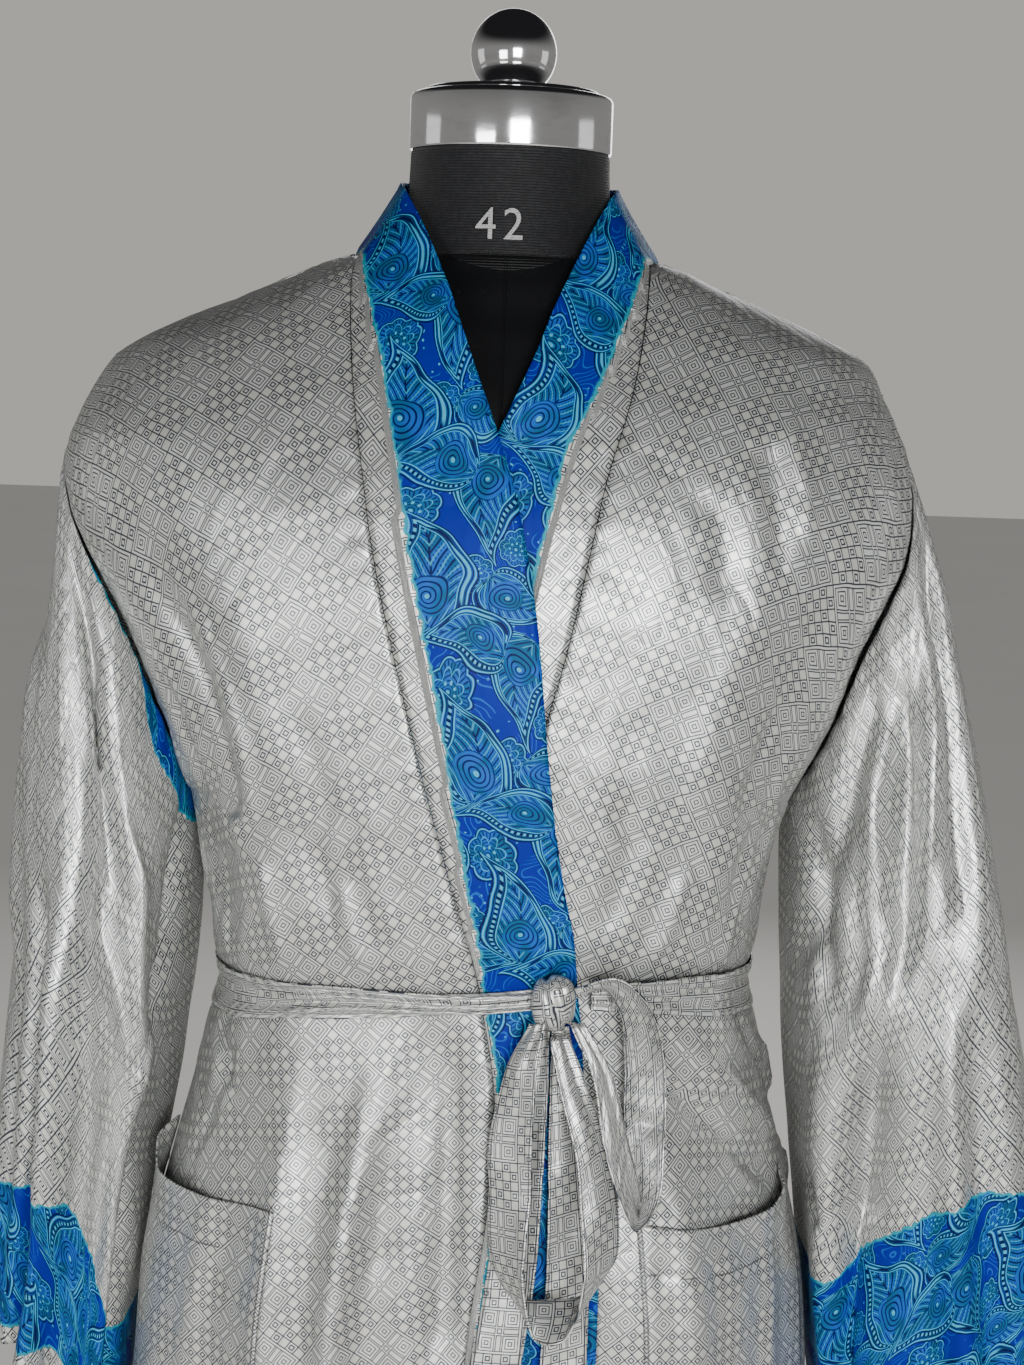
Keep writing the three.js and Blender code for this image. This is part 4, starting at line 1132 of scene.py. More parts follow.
class Nodes:
    """Places nodes in a tree and joins them."""

    def __init__(self, tree: bpy.types.NodeTree) -> None:
        """Starts with the tree that is filled."""
        self.tree = tree
        self.count = 0

    def add(self, kind: str, **settings: object) -> bpy.types.Node:
        """New node with its settings.

        Args:
            kind: The node's type.
            settings: Its settings.

        Returns:
            The node.
        """
        node = self.tree.nodes.new(kind)
        for name, value in settings.items():
            setattr(node, name, value)
        node.location = (200 * (self.count % 12), -220 * (self.count // 12))
        self.count += 1
        return node

    def feed(self, socket: Socket, value: object) -> None:
        """Joins a socket to an output, or sets its value.

        Args:
            socket: The input.
            value: An output, a value, or None to leave it.
        """
        if isinstance(value, Socket):
            self.tree.links.new(value, socket)
        elif value is not None:
            socket.default_value = value

    def wire(self, kind: str, fed: dict[int | str, object], output: int = 0, **settings: object) -> Socket:
        """One node with its inputs fed.

        Args:
            kind: The node's type.
            fed: Values or outputs, by the input's name or number.
            output: Number of the output that is wanted.
            settings: The node's own settings.

        Returns:
            The output.
        """
        node = self.add(kind, **settings)
        for title, value in fed.items():
            self.feed(node.inputs[title], value)
        return node.outputs[output]

    def math(self, operation: str, first: object, second: object = None) -> Socket:
        """Result of one Math node."""
        return self.wire("ShaderNodeMath", {0: first, 1: second}, operation=operation)

    def times(self, first: object, second: object) -> Socket:
        """Product of two values."""
        return self.math("MULTIPLY", first, second)

    def plus(self, first: object, second: object) -> Socket:
        """Sum of two values."""
        return self.math("ADD", first, second)

    def minus(self, first: object, second: object) -> Socket:
        """First value less the second."""
        return self.math("SUBTRACT", first, second)

    def rest(self, share: object) -> Socket:
        """What a share leaves of one."""
        return self.minus(1.0, share)

    def larger(self, first: object, second: object) -> Socket:
        """Larger of two values."""
        return self.math("MAXIMUM", first, second)

    def absolute(self, value: object) -> Socket:
        """Value without its sign."""
        return self.math("ABSOLUTE", value)

    def gap(self, first: object, second: object) -> Socket:
        """Distance between two values."""
        return self.absolute(self.minus(first, second))

    def wave(self, value: object, count: float) -> Socket:
        """Sine of a value times a number."""
        return self.math("SINE", self.times(value, count))

    def vector(self, operation: str, first: object, second: object = None) -> Socket:
        """Vector result of one Vector Math node."""
        return self.wire("ShaderNodeVectorMath", {0: first, 1: second}, operation=operation)

    def scaled(self, vector: object, factor: float) -> Socket:
        """Vector times a number."""
        return self.wire("ShaderNodeVectorMath", {0: vector, "Scale": factor}, operation="SCALE")

    def split(self, vector: object) -> tuple[Socket, ...]:
        """The three parts of a vector."""
        return tuple(self.wire("ShaderNodeSeparateXYZ", {0: vector}).node.outputs)

    def join(self, x: object, y: object, z: object = 0.0) -> Socket:
        """Vector made of three parts."""
        return self.wire("ShaderNodeCombineXYZ", {0: x, 1: y, 2: z})

    def mask(self, value: object, off: float, on: float) -> Socket:
        """Mask that rises from 0 to 1 between two values."""
        fed = {0: value, 1: off, 2: on, 3: 0.0, 4: 1.0}
        return self.wire("ShaderNodeMapRange", fed, interpolation_type="SMOOTHSTEP")

    def blend(self, factor: object, first: object, second: object) -> Socket:
        """Colour between two colours."""
        return self.wire("ShaderNodeMix", {0: factor, 6: first, 7: second}, 2, data_type="RGBA")

    def noise(self, vector: object, scale: float, detail: float = 2.0) -> Socket:
        """Noise from 0 to 1 at a scale in waves a unit."""
        return self.wire("ShaderNodeTexNoise", {"Vector": vector, "Scale": scale, "Detail": detail})

    def place(self, group: bpy.types.NodeTree, **values: object) -> bpy.types.Node:
        """A node group in this tree, with the values of its inputs.

        Args:
            group: The group.
            values: Values or outputs, by input.

        Returns:
            The node.
        """
        node = self.add("ShaderNodeGroup", node_tree=group)
        for name, value in values.items():
            self.feed(node.inputs[name.replace("_", " ")], value)
        return node


class GroupMaker:
    """Shader node group with named inputs and outputs."""

    def __init__(self, name: str, inputs: dict[str, object], outputs: dict[str, str]) -> None:
        """Makes an empty group.

        Args:
            name: The group's name.
            inputs: Input names with default values. None stands for a vector.
            outputs: Output names with their kinds, Float, Vector or Color.
        """
        self.tree = bpy.data.node_groups.new(name, "ShaderNodeTree")
        for title, value in inputs.items():
            kind = "NodeSocketVector" if value is None else "NodeSocketFloat"
            if isinstance(value, tuple):
                kind = "NodeSocketColor"
            socket = self.tree.interface.new_socket(name=title, in_out="INPUT", socket_type=kind)
            if value is not None:
                socket.default_value = value
        for title, kind in outputs.items():
            self.tree.interface.new_socket(name=title, in_out="OUTPUT", socket_type=f"NodeSocket{kind}")
        self.nodes = Nodes(self.tree)
        self.inside = self.nodes.add("NodeGroupInput")
        self.outside = self.nodes.add("NodeGroupOutput")

    def source(self, title: str) -> Socket:
        """An input as seen from inside the group."""
        return self.inside.outputs[title]

    def give(self, title: str, value: Socket) -> None:
        """Joins a result to an output."""
        self.nodes.feed(self.outside.inputs[title], value)


# Side of a block of the geometric print, and the repeat of the paisley print, in metres.
BLOCK_PITCH = 0.0285
PAISLEY_REPEAT = (0.078, 0.104)
# Squares of a block, in shares of its side, from its middle.
FRAME_REACH = 0.438
CENTRE_REACH = 0.048
CORNER_PLACE = 0.268
CORNER_REACHES = (0.17, 0.105, 0.04)
BAR_REACH = 0.055
CHECKS = 5.0


class PrintGroups:
    """The node groups that the finishes share."""

    def __init__(self) -> None:
        """Builds every group once."""
        self.ring = self.make_ring()
        self.blocks = self.make_blocks()
        self.motif = self.make_motif()
        self.rosette = self.make_rosette()
        self.paisley = self.make_paisley()
        self.silk_relief = self.make_silk_relief()

    def make_ring(self) -> bpy.types.NodeTree:
        """Line of a given width where a distance has a given value.

        Returns:
            The group.
        """
        group = GroupMaker("fine_line", {"Distance": 0.0, "Radius": 0.1, "Width": 0.02}, {"Mask": "Float"})
        n = group.nodes
        away = n.gap(group.source("Distance"), group.source("Radius"))
        share = n.math("DIVIDE", away, group.source("Width"))
        group.give("Mask", n.mask(share, 0.75, 0.3))
        return group.tree

    def line(self, n: Nodes, distance: object, radius: float, width: float = 0.022) -> Socket:
        """One fine line of a print."""
        return n.place(self.ring, Distance=distance, Radius=radius, Width=width).outputs[0]

    def make_blocks(self) -> bpy.types.NodeTree:
        """Geometric print: blocks of nested squares that alternate with blocks of checks.

        Returns:
            The group.
        """
        outputs = {"Line": "Float", "Fill": "Float"}
        group = GroupMaker("block_print", {"Vector": None, "Pitch": BLOCK_PITCH}, outputs)
        n = group.nodes
        pitch = n.join(group.source("Pitch"), group.source("Pitch"), 1.0)
        place = n.vector("DIVIDE", group.source("Vector"), pitch)
        column, row, _ = n.split(n.vector("FLOOR", place))
        block = n.math("FLOORED_MODULO", n.plus(column, row), 2.0)
        inside = n.vector("SUBTRACT", n.vector("FRACTION", place), (0.5, 0.5, 0.0))
        a, b, _ = n.split(n.vector("ABSOLUTE", inside))
        reach = n.larger(a, b)
        lines = [self.line(n, reach, FRAME_REACH), self.line(n, reach, CENTRE_REACH)]
        corner = n.larger(n.gap(a, CORNER_PLACE), n.gap(b, CORNER_PLACE))
        lines += [self.line(n, corner, radius) for radius in CORNER_REACHES]
        for first, second in ((a, b), (b, a)):
            ends = n.minus(n.gap(first, CORNER_PLACE), CORNER_REACHES[0])
            bar = n.larger(ends, n.minus(second, BAR_REACH))
            lines.append(self.line(n, bar, 0.0))
        squares = self.strongest(n, lines)
        fine = n.scaled(n.vector("ADD", inside, (0.5, 0.5, 0.0)), CHECKS)
        check_x, check_y, _ = n.split(n.vector("FLOOR", fine))
        odd = n.math("FLOORED_MODULO", n.plus(check_x, check_y), 2.0)
        within = n.vector("ABSOLUTE", n.vector("SUBTRACT", n.vector("FRACTION", fine), (0.5, 0.5, 0.0)))
        c, d, _ = n.split(within)
        check = n.larger(c, d)
        small = n.times(self.line(n, check, 0.22, 0.14), odd)
        checks = n.larger(self.line(n, check, 0.5, 0.13), small)
        chosen = n.plus(n.times(squares, block), n.times(checks, n.rest(block)))
        group.give("Line", n.larger(chosen, self.line(n, reach, 0.5, 0.026)))
        group.give("Fill", n.times(n.rest(odd), n.rest(block)))
        return group.tree

    def strongest(self, n: Nodes, masks: Sequence[Socket]) -> Socket:
        """The strongest of several masks.

        Args:
            n: The tool that fills the group's tree.
            masks: The masks.

        Returns:
            The strongest at each place.
        """
        result = masks[0]
        for mask in masks[1:]:
            result = n.larger(result, mask)
        return result

    def make_motif(self) -> bpy.types.NodeTree:
        """Bent teardrop with outlines, a row of beads, petals and a spiral head.

        Returns:
            The group.
        """
        group = GroupMaker(
            "paisley_teardrop",
            {"Vector": None, "Turn": 0.0, "Size": 0.03},
            {"Body": "Float", "Rim": "Float", "Line": "Float", "Glow": "Float"},
        )
        n = group.nodes
        x, y, _ = n.split(self.turned(n, group))
        rise = n.larger(n.plus(y, 0.15), 0.0)
        bent = n.minus(n.plus(x, 0.12), n.times(n.times(rise, rise), 0.62))
        square = n.larger(n.rest(n.times(y, y)), 0.0)
        taper = n.math("POWER", n.larger(n.times(n.rest(y), 0.5), 0.0), 0.72)
        half = n.times(n.times(n.math("SQRT", square), taper), 0.98)
        depth = n.minus(n.absolute(bent), half)
        outside = n.larger(n.minus(n.absolute(y), 0.97), 0.0)
        depth = n.plus(depth, n.times(outside, 4.0))
        eye_y = n.plus(y, 0.42)
        eye = n.math("SQRT", n.plus(n.times(bent, bent), n.times(eye_y, eye_y)))
        swirl = n.math("ARCTAN2", eye_y, bent)
        group.give("Body", n.mask(depth, 0.012, -0.012))
        group.give("Rim", n.larger(self.line(n, depth, -0.02, 0.024), self.line(n, depth, -0.2, 0.017)))
        beads = n.wave(n.plus(swirl, n.times(y, 1.6)), 19.0)
        row = self.line(n, depth, -0.12, 0.05)
        bead = n.times(row, n.mask(beads, -0.2, 0.3))
        gap = n.minus(self.line(n, depth, -0.12, 0.08), bead)
        spiral = n.math("SINE", n.plus(n.times(eye, 72.0), swirl))
        lean = n.plus(n.times(y, 26.0), n.times(n.absolute(bent), -38.0))
        petal = n.math("SINE", lean)
        echo = n.wave(depth, 105.0)
        near_eye = n.mask(eye, 0.38, 0.34)
        veins = n.mask(petal, -0.72, -0.95)
        fan = n.larger(veins, n.times(n.mask(echo, 0.5, 0.9), n.mask(petal, -0.1, 0.3)))
        core = n.plus(n.times(n.mask(spiral, 0.3, 0.8), near_eye), n.times(fan, n.rest(near_eye)))
        inner = n.mask(depth, -0.215, -0.235)
        borders = n.larger(self.line(n, depth, -0.06, 0.02), self.line(n, depth, -0.175, 0.018))
        rib = n.times(self.line(n, bent, 0.0, 0.03), n.rest(near_eye))
        lines = self.strongest(n, [n.times(n.larger(core, rib), inner), borders, gap])
        group.give("Line", n.larger(lines, self.line(n, depth, 0.02, 0.03)))
        glow = n.times(n.mask(petal, 0.75, 0.98), n.times(inner, n.rest(near_eye)))
        pupil = n.mask(eye, 0.055, 0.035)
        group.give("Glow", self.strongest(n, [n.times(glow, 0.6), bead, pupil]))
        return group.tree

    def turned(self, n: Nodes, group: GroupMaker) -> Socket:
        """Coordinates of a motif, turned and divided by its size.

        Args:
            n: The tool that fills the group's tree.
            group: The group, with its Vector, Turn and Size.

        Returns:
            The coordinates.
        """
        turn = n.add("ShaderNodeVectorRotate", rotation_type="Z_AXIS")
        n.feed(turn.inputs["Vector"], group.source("Vector"))
        n.feed(turn.inputs["Angle"], group.source("Turn"))
        size = n.join(group.source("Size"), group.source("Size"), 1.0)
        return n.vector("DIVIDE", turn.outputs[0], size)

    def make_rosette(self) -> bpy.types.NodeTree:
        """Round scalloped flower with petals, rings and beads.

        Returns:
            The group.
        """
        group = GroupMaker(
            "paisley_rosette",
            {"Vector": None, "Turn": 0.0, "Size": 0.02},
            {"Body": "Float", "Rim": "Float", "Line": "Float", "Glow": "Float"},
        )
        n = group.nodes
        x, y, _ = n.split(self.turned(n, group))
        radius = n.math("SQRT", n.plus(n.times(x, x), n.times(y, y)))
        around = n.math("ARCTAN2", y, x)
        scallop = n.absolute(n.wave(around, 4.0))
        depth = n.minus(radius, n.plus(n.times(scallop, 0.13), 0.82))
        group.give("Body", n.mask(depth, 0.015, -0.015))
        petal = n.minus(radius, n.plus(n.times(scallop, 0.22), 0.42))
        rim = n.larger(self.line(n, depth, -0.03, 0.034), self.line(n, petal, 0.0, 0.026))
        group.give("Rim", rim)
        rays = n.mask(n.wave(around, 32.0), 0.2, 0.7)
        band = n.times(rays, n.times(n.mask(depth, -0.12, -0.14), n.mask(petal, 0.03, 0.06)))
        rings = n.mask(n.wave(radius, 60.0), 0.35, 0.8)
        inside = n.times(rings, n.mask(petal, -0.02, -0.05))
        edges = [self.line(n, depth, -0.1, 0.03), self.line(n, depth, 0.03, 0.04)]
        group.give("Line", self.strongest(n, [band, inside, *edges]))
        beads = n.times(self.line(n, radius, 0.3, 0.1), n.mask(n.wave(around, 8.0), 0.2, 0.6))
        group.give("Glow", n.larger(beads, n.mask(radius, 0.09, 0.05)))
        return group.tree

    def repeat(self, n: Nodes, vector: object, cell: Pair, shift: Pair) -> Socket:
        """Coordinates from the middle of each cell of a repeat.

        Args:
            n: The tool that fills the group's tree.
            vector: The coordinates of the cloth.
            cell: Size of a cell.
            shift: Shift of the cells.

        Returns:
            The coordinates in the cell.
        """
        size = (cell[0], cell[1], 1.0)
        place = n.vector("DIVIDE", n.vector("ADD", vector, (shift[0], shift[1], 0.0)), size)
        centred = n.vector("SUBTRACT", n.vector("FRACTION", place), (0.5, 0.5, 0.0))
        return n.vector("MULTIPLY", centred, size)

    def make_paisley(self) -> bpy.types.NodeTree:
        """Paisley border print in royal blue, sky blue and teal.

        Returns:
            The group.
        """
        colours = {
            "Ground": (0.002, 0.012, 0.25, 1.0),
            "Sky": (0.005, 0.092, 0.43, 1.0),
            "Teal": (0.003, 0.085, 0.2, 1.0),
            "Rim": (0.05, 0.38, 0.6, 1.0),
            "Dark": (0.001, 0.006, 0.06, 1.0),
        }
        group = GroupMaker("paisley_print", {"Vector": None, **colours}, {"Color": "Color"})
        n = group.nodes
        fed = {"Vector": group.source("Vector"), "Scale": 24.0, "Detail": 1.0}
        warp = n.wire("ShaderNodeTexNoise", fed, 1, noise_dimensions="2D")
        swing = n.scaled(n.vector("SUBTRACT", warp, (0.5, 0.5, 0.5)), 0.016)
        place = n.vector("ADD", group.source("Vector"), swing)
        speck = self.repeat(n, place, (0.0046, 0.0046), (0.0, 0.0))
        spot = n.vector("LENGTH", speck)
        dots = n.mask(spot.node.outputs["Value"], 0.0010, 0.0006)
        sparse = n.mask(n.noise(place, 70.0, 0.0), 0.40, 0.52)
        colour = n.blend(n.times(dots, sparse), group.source("Ground"), group.source("Rim"))
        curls = n.wave(n.noise(place, 46.0, 0.0), 95.0)
        tendril = n.times(n.mask(curls, 0.75, 0.93), n.mask(n.noise(place, 33.0, 0.0), 0.4, 0.46))
        colour = n.blend(tendril, colour, group.source("Sky"))
        families = (
            (self.rosette, (0.066, 0.016), 0.4, 0.0165, "Teal", "Sky"),
            (self.rosette, (0.012, 0.060), 0.1, 0.0140, "Sky", "Teal"),
            (self.motif, (0.040, 0.078), 3.9, 0.0240, "Teal", "Sky"),
            (self.rosette, (0.041, 0.046), 0.9, 0.0115, "Teal", "Sky"),
            (self.motif, (0.028, 0.022), 2.5, 0.0300, "Sky", "Teal"),
            (self.motif, (0.070, 0.052), 5.9, 0.0345, "Sky", "Teal"),
            (self.motif, (0.003, 0.094), 0.9, 0.0270, "Teal", "Sky"),
        )
        for tree, shift, turn, size, body, accent in families:
            where = self.repeat(n, place, PAISLEY_REPEAT, shift)
            motif = n.place(tree, Vector=where, Turn=turn, Size=size)
            cloudy = n.mask(n.noise(where, 70.0, 1.0), 0.35, 0.65)
            fill = n.blend(cloudy, group.source(body), group.source(accent))
            colour = n.blend(motif.outputs["Body"], colour, fill)
            colour = n.blend(motif.outputs["Line"], colour, group.source("Dark"))
            colour = n.blend(motif.outputs["Glow"], colour, group.source("Rim"))
            colour = n.blend(motif.outputs["Rim"], colour, group.source("Rim"))
        group.give("Color", colour)
        return group.tree

    def make_silk_relief(self) -> bpy.types.NodeTree:
        """Height of a satin's slubs and fine creases, and of a line of stitches.

        Returns:
            The group.
        """
        group = GroupMaker("silk_relief", {"Vector": None, "Stitch": 0.01}, {"Height": "Float"})
        n = group.nodes
        slub = n.noise(n.vector("MULTIPLY", group.source("Vector"), (1.0, 0.22, 1.0)), 1500.0, 2.0)
        crease = n.noise(n.vector("MULTIPLY", group.source("Vector"), (1.0, 0.55, 1.0)), 130.0, 3.0)
        groove = n.mask(n.absolute(group.source("Stitch")), 0.0009, 0.0002)
        stretched = n.vector("MULTIPLY", group.source("Vector"), (1.0, 0.5, 1.0))
        crumple = n.gap(n.noise(stretched, 26.0, 2.5), 0.5)
        height = n.plus(n.times(slub, 0.10), n.times(crease, 0.7))
        height = n.plus(height, n.times(n.math("MINIMUM", crumple, 0.14), 14.0))
        group.give("Height", n.minus(height, n.times(groove, 1.2)))
        return group.tree


def new_material(name: str) -> tuple[bpy.types.Material, Nodes, bpy.types.Node]:
    """Empty material with its shader.

    Args:
        name: The material's name.

    Returns:
        The material, the tool that fills its tree, and its Principled shader.
    """
    material = bpy.data.materials.new(name)
    material.use_nodes = True
    material.node_tree.nodes.clear()
    nodes = Nodes(material.node_tree)
    shader = nodes.add("ShaderNodeBsdfPrincipled")
    output = nodes.add("ShaderNodeOutputMaterial")
    nodes.feed(output.inputs["Surface"], shader.outputs[0])
    return material, nodes, shader


def add_bump(n: Nodes, shader: bpy.types.Node, height: object, strength: float, distance: float) -> None:
    """Feeds a height to a shader's normal.

    Args:
        n: The tool that fills the material's tree.
        shader: The shader.
        height: The height.
        strength: The bump's strength.
        distance: Depth of a height of one, in metres.
    """
    bump = n.add("ShaderNodeBump")
    bump.inputs["Strength"].default_value = strength
    bump.inputs["Distance"].default_value = distance
    n.feed(bump.inputs["Height"], height)
    n.feed(shader.inputs["Normal"], bump.outputs[0])


@dataclass(frozen=True)
class SilkFinish:
    """Printed satin silk, with a paisley border where the cloth has one."""

    groups: PrintGroups
    ground: Colour = (0.70, 0.71, 0.685, 1.0)
    fill: Colour = (0.64, 0.64, 0.60, 1.0)
    line: Colour = (0.045, 0.052, 0.068, 1.0)
    edge: Colour = (0.012, 0.27, 0.36, 1.0)
    roughness: float = 0.4
    metallic: float = 0.6
    border_metallic: float = 0.13
    border_rougher: float = 0.12
    specular: float = 0.3
    border_specular: float = 0.12

    def build(self, name: str, bordered: bool) -> bpy.types.Material:
        """Makes the material.

        Args:
            name: The material's name.
            bordered: True if the cloth's border attribute places the paisley print.

        Returns:
            The material.
        """
        material, n, shader = new_material(name)
        cloth = n.add("ShaderNodeUVMap", uv_map="cloth").outputs[0]
        stitch = n.add("ShaderNodeAttribute", attribute_name="stitch").outputs["Fac"]
        blocks = n.place(self.groups.blocks, Vector=cloth)
        colour = n.blend(blocks.outputs["Fill"], self.ground, self.fill)
        colour = n.blend(blocks.outputs["Line"], colour, self.line)
        if bordered:
            border = n.add("ShaderNodeAttribute", attribute_name="border").outputs["Fac"]
            printed = n.mask(border, -0.0002, 0.0002)
            duller = n.times(printed, self.metallic - self.border_metallic)
            n.feed(shader.inputs["Metallic"], n.minus(self.metallic, duller))
            jag = n.times(n.minus(n.noise(cloth, 160.0, 1.0), 0.5), 0.006)
            depth = n.plus(border, jag)
            paisley = n.place(self.groups.paisley, Vector=cloth).outputs[0]
            rim = n.blend(n.mask(depth, 0.0011, 0.0026), self.edge, paisley)
            colour = n.blend(n.mask(depth, -0.0002, 0.0002), colour, rim)
        # Painted shade along each line of stitches, standing in for the shadow in the groove that the
        # stitches press.
        shade = n.mask(n.absolute(stitch), 0.0009, 0.0004)
        colour = n.blend(n.times(shade, 0.7), colour, (0.07, 0.07, 0.08, 1.0))
        n.feed(shader.inputs["Base Color"], colour)
        sheen = n.noise(cloth, 40.0, 2.0)
        rough = n.plus(n.times(sheen, 0.12), self.roughness - 0.06)
        if bordered:
            rough = n.plus(rough, n.times(printed, self.border_rougher))
        else:
            settle(shader, {"Metallic": self.metallic})
        n.feed(shader.inputs["Roughness"], rough)
        settle(shader, {"Specular IOR Level": self.border_specular if bordered else self.specular})
        relief = n.place(self.groups.silk_relief, Vector=cloth, Stitch=stitch)
        add_bump(n, shader, relief.outputs[0], 0.5, 0.0006)
        return material


@dataclass(frozen=True)
class JerseyFinish:
    """Black jersey of the torso, with ribbed cloth where the neck's cover reaches down."""

    colour: Colour = (0.004, 0.0042, 0.005, 1.0)
    worn: Colour = (0.014, 0.0145, 0.016, 1.0)

    def build(self) -> bpy.types.Material:
        """Makes the material.

        Returns:
            The material.
        """
        material, n, shader = new_material("form_jersey")
        place = n.add("ShaderNodeTexCoord").outputs["Object"]
        x, y, z = n.split(place)
        lint = n.mask(n.noise(place, 380.0, 4.0), 0.62, 0.8)
        n.feed(shader.inputs["Base Color"], n.blend(lint, self.colour, self.worn))
        n.feed(shader.inputs["Roughness"], n.plus(n.times(n.noise(place, 24.0, 3.0), 0.25), 0.3))
        settle(shader, {"Specular IOR Level": 0.22, "Sheen Weight": 0.04, "Sheen Roughness": 0.4})
        line = n.plus(n.times(n.times(x, x), 6.49), 1.418)
        above = n.mask(n.minus(z, line), -0.0004, 0.0004)
        front = n.times(above, n.mask(y, 0.0, -0.004))
        rib = n.wave(z, 3900.0)
        knit = n.times(n.wave(x, 7000.0), n.wave(z, 6000.0))
        seam = n.times(n.mask(n.absolute(x), 0.0012, 0.0003), n.mask(y, 0.0, -0.01))
        cloth = n.plus(n.times(rib, front), n.times(knit, 0.4))
        height = n.minus(n.plus(cloth, n.times(above, 1.5)), n.times(seam, 2.5))
        add_bump(n, shader, height, 0.6, 0.0003)
        return material


@dataclass(frozen=True)
class NeckRibFinish:
    """Black cloth with fine ribs round the neck."""

    colour: Colour = (0.008, 0.0083, 0.0095, 1.0)
    rib_colour: Colour = (0.024, 0.0245, 0.027, 1.0)

    def build(self) -> bpy.types.Material:
        """Makes the material.

        Returns:
            The material.
        """
        material, n, shader = new_material("neck_rib")
        place = n.add("ShaderNodeTexCoord").outputs["Object"]
        _, _, z = n.split(place)
        wander = n.times(n.noise(place, 30.0, 2.0), 0.0016)
        rib = n.wave(n.plus(z, wander), 3900.0)
        # The crests of the ribs are lighter in patches.
        high = n.mask(rib, -0.2, 0.9)
        light_rib_crests = n.times(high, n.mask(n.noise(place, 300.0, 4.0), 0.35, 0.75))
        n.feed(shader.inputs["Base Color"], n.blend(light_rib_crests, self.colour, self.rib_colour))
        settle(shader, {"Roughness": 0.62, "Specular IOR Level": 0.3})
        settle(shader, {"Sheen Weight": 0.1, "Sheen Roughness": 0.45})
        weave = n.noise(n.vector("MULTIPLY", place, (1.0, 1.0, 0.3)), 1100.0, 2.0)
        add_bump(n, shader, n.plus(n.times(rib, 0.6), n.times(weave, 0.7)), 0.8, 0.0004)
        return material


@dataclass(frozen=True)
class ChromeFinish:
    """Polished chrome with faint wiping marks."""

    colour: Colour = (0.83, 0.83, 0.84, 1.0)
    roughness: float = 0.07

    def build(self) -> bpy.types.Material:
        """Makes the material.

        Returns:
            The material.
        """
        material, n, shader = new_material("chrome")
        place = n.add("ShaderNodeTexCoord").outputs["Object"]
        haze = n.noise(n.vector("MULTIPLY", place, (1.0, 1.0, 3.0)), 45.0, 4.0)
        duller = n.blend(n.mask(haze, 0.5, 0.8), self.colour, (0.7, 0.7, 0.71, 1.0))
        n.feed(shader.inputs["Base Color"], duller)
        settle(shader, {"Metallic": 1.0})
        n.feed(shader.inputs["Roughness"], n.plus(n.times(haze, 0.12), self.roughness - 0.03))
        add_bump(n, shader, haze, 0.08, 0.0003)
        return material


@dataclass(frozen=True)
class PaintFinish:
    """Black semi-gloss paint with dust and a little wear."""

    colour: Colour = (0.012, 0.012, 0.013, 1.0)
    worn: Colour = (0.05, 0.05, 0.052, 1.0)

    def build(self) -> bpy.types.Material:
        """Makes the material.

        Returns:
            The material.
        """
        material, n, shader = new_material("base_paint")
        place = n.add("ShaderNodeTexCoord").outputs["Object"]
        dust = n.mask(n.noise(place, 90.0, 6.0), 0.5, 0.8)
        n.feed(shader.inputs["Base Color"], n.blend(dust, self.colour, self.worn))
        n.feed(shader.inputs["Roughness"], n.plus(n.times(dust, 0.3), 0.28))
        add_bump(n, shader, n.noise(place, 700.0, 2.0), 0.15, 0.0003)
        return material


@dataclass(frozen=True)
class StencilFinish:
    """Pale paint of the size number, thin in patches in the troughs of the ribs."""

    colour: Colour = (0.36, 0.37, 0.36, 1.0)
    thin: Colour = (0.12, 0.12, 0.12, 1.0)

    def build(self) -> bpy.types.Material:
        """Makes the material.

        Returns:
            The material.
        """
        material, n, shader = new_material("stencil_paint")
        place = n.add("ShaderNodeTexCoord").outputs["Object"]
        _, _, z = n.split(place)
        rib = n.wave(z, 3900.0)
        gap = n.times(n.mask(rib, -0.1, -0.8), n.mask(n.noise(place, 500.0, 3.0), 0.4, 0.7))
        n.feed(shader.inputs["Base Color"], n.blend(gap, self.colour, self.thin))
        settle(shader, {"Roughness": 0.7})
        add_bump(n, shader, rib, 0.5, 0.0003)
        return material


@dataclass
class Finishes:
    """All materials of the object, made once."""

    silk: bpy.types.Material
    border: bpy.types.Material
    jersey: bpy.types.Material
    rib: bpy.types.Material
    chrome: bpy.types.Material
    paint: bpy.types.Material
    stencil: bpy.types.Material

    @classmethod
    def make(cls) -> "Finishes":
        """Builds each finish.

        Returns:
            The materials.
        """
        silk = SilkFinish(PrintGroups())
        return cls(
            silk=silk.build("silk_print", bordered=False),
            border=silk.build("border_print", bordered=True),
            jersey=JerseyFinish().build(),
            rib=NeckRibFinish().build(),
            chrome=ChromeFinish().build(),
            paint=PaintFinish().build(),
            stencil=StencilFinish().build(),
        )


def no_stitches(points: Array) -> Array:
    """Stitch distances of a sheet with no line of stitches near."""
    return np.full(points.shape[:2], 0.01)


def upright_uv(points: Array, grain_x: float) -> tuple[Array, Array]:
    """Lengths of cloth across and up a body panel.

    Args:
        points: Grid of the panel, from the hem up.
        grain_x: Place of the straight grain line.

    Returns:
        The lengths across from the grain line and up from the belt.
    """
    across = arc_along(points, 1)
    aside = points[..., 0] - grain_x
    first = np.array([np.interp(0, *order_by_x(x, arc)) for x, arc in zip(aside, across)])
    rise = np.diff(points[..., 1:], axis=0)
    up = np.cumsum(np.pad(np.hypot(rise[..., 0], rise[..., 1]), ((1, 0), (0, 0))), axis=0)
    belt_row = np.argmin(np.abs(SEAM_HEIGHTS - BELT_LEVEL))
    sign = 1.0 if points[0, -1, 0] > points[0, 0, 0] else -1.0
    return sign * (across - first[:, None]), up - up[belt_row]


def order_by_x(x: Array, values: Array) -> tuple[Array, Array]:
    """Both rows with rising x, for interpolation."""
    return (x, values) if x[-1] > x[0] else (x[::-1], values[::-1])


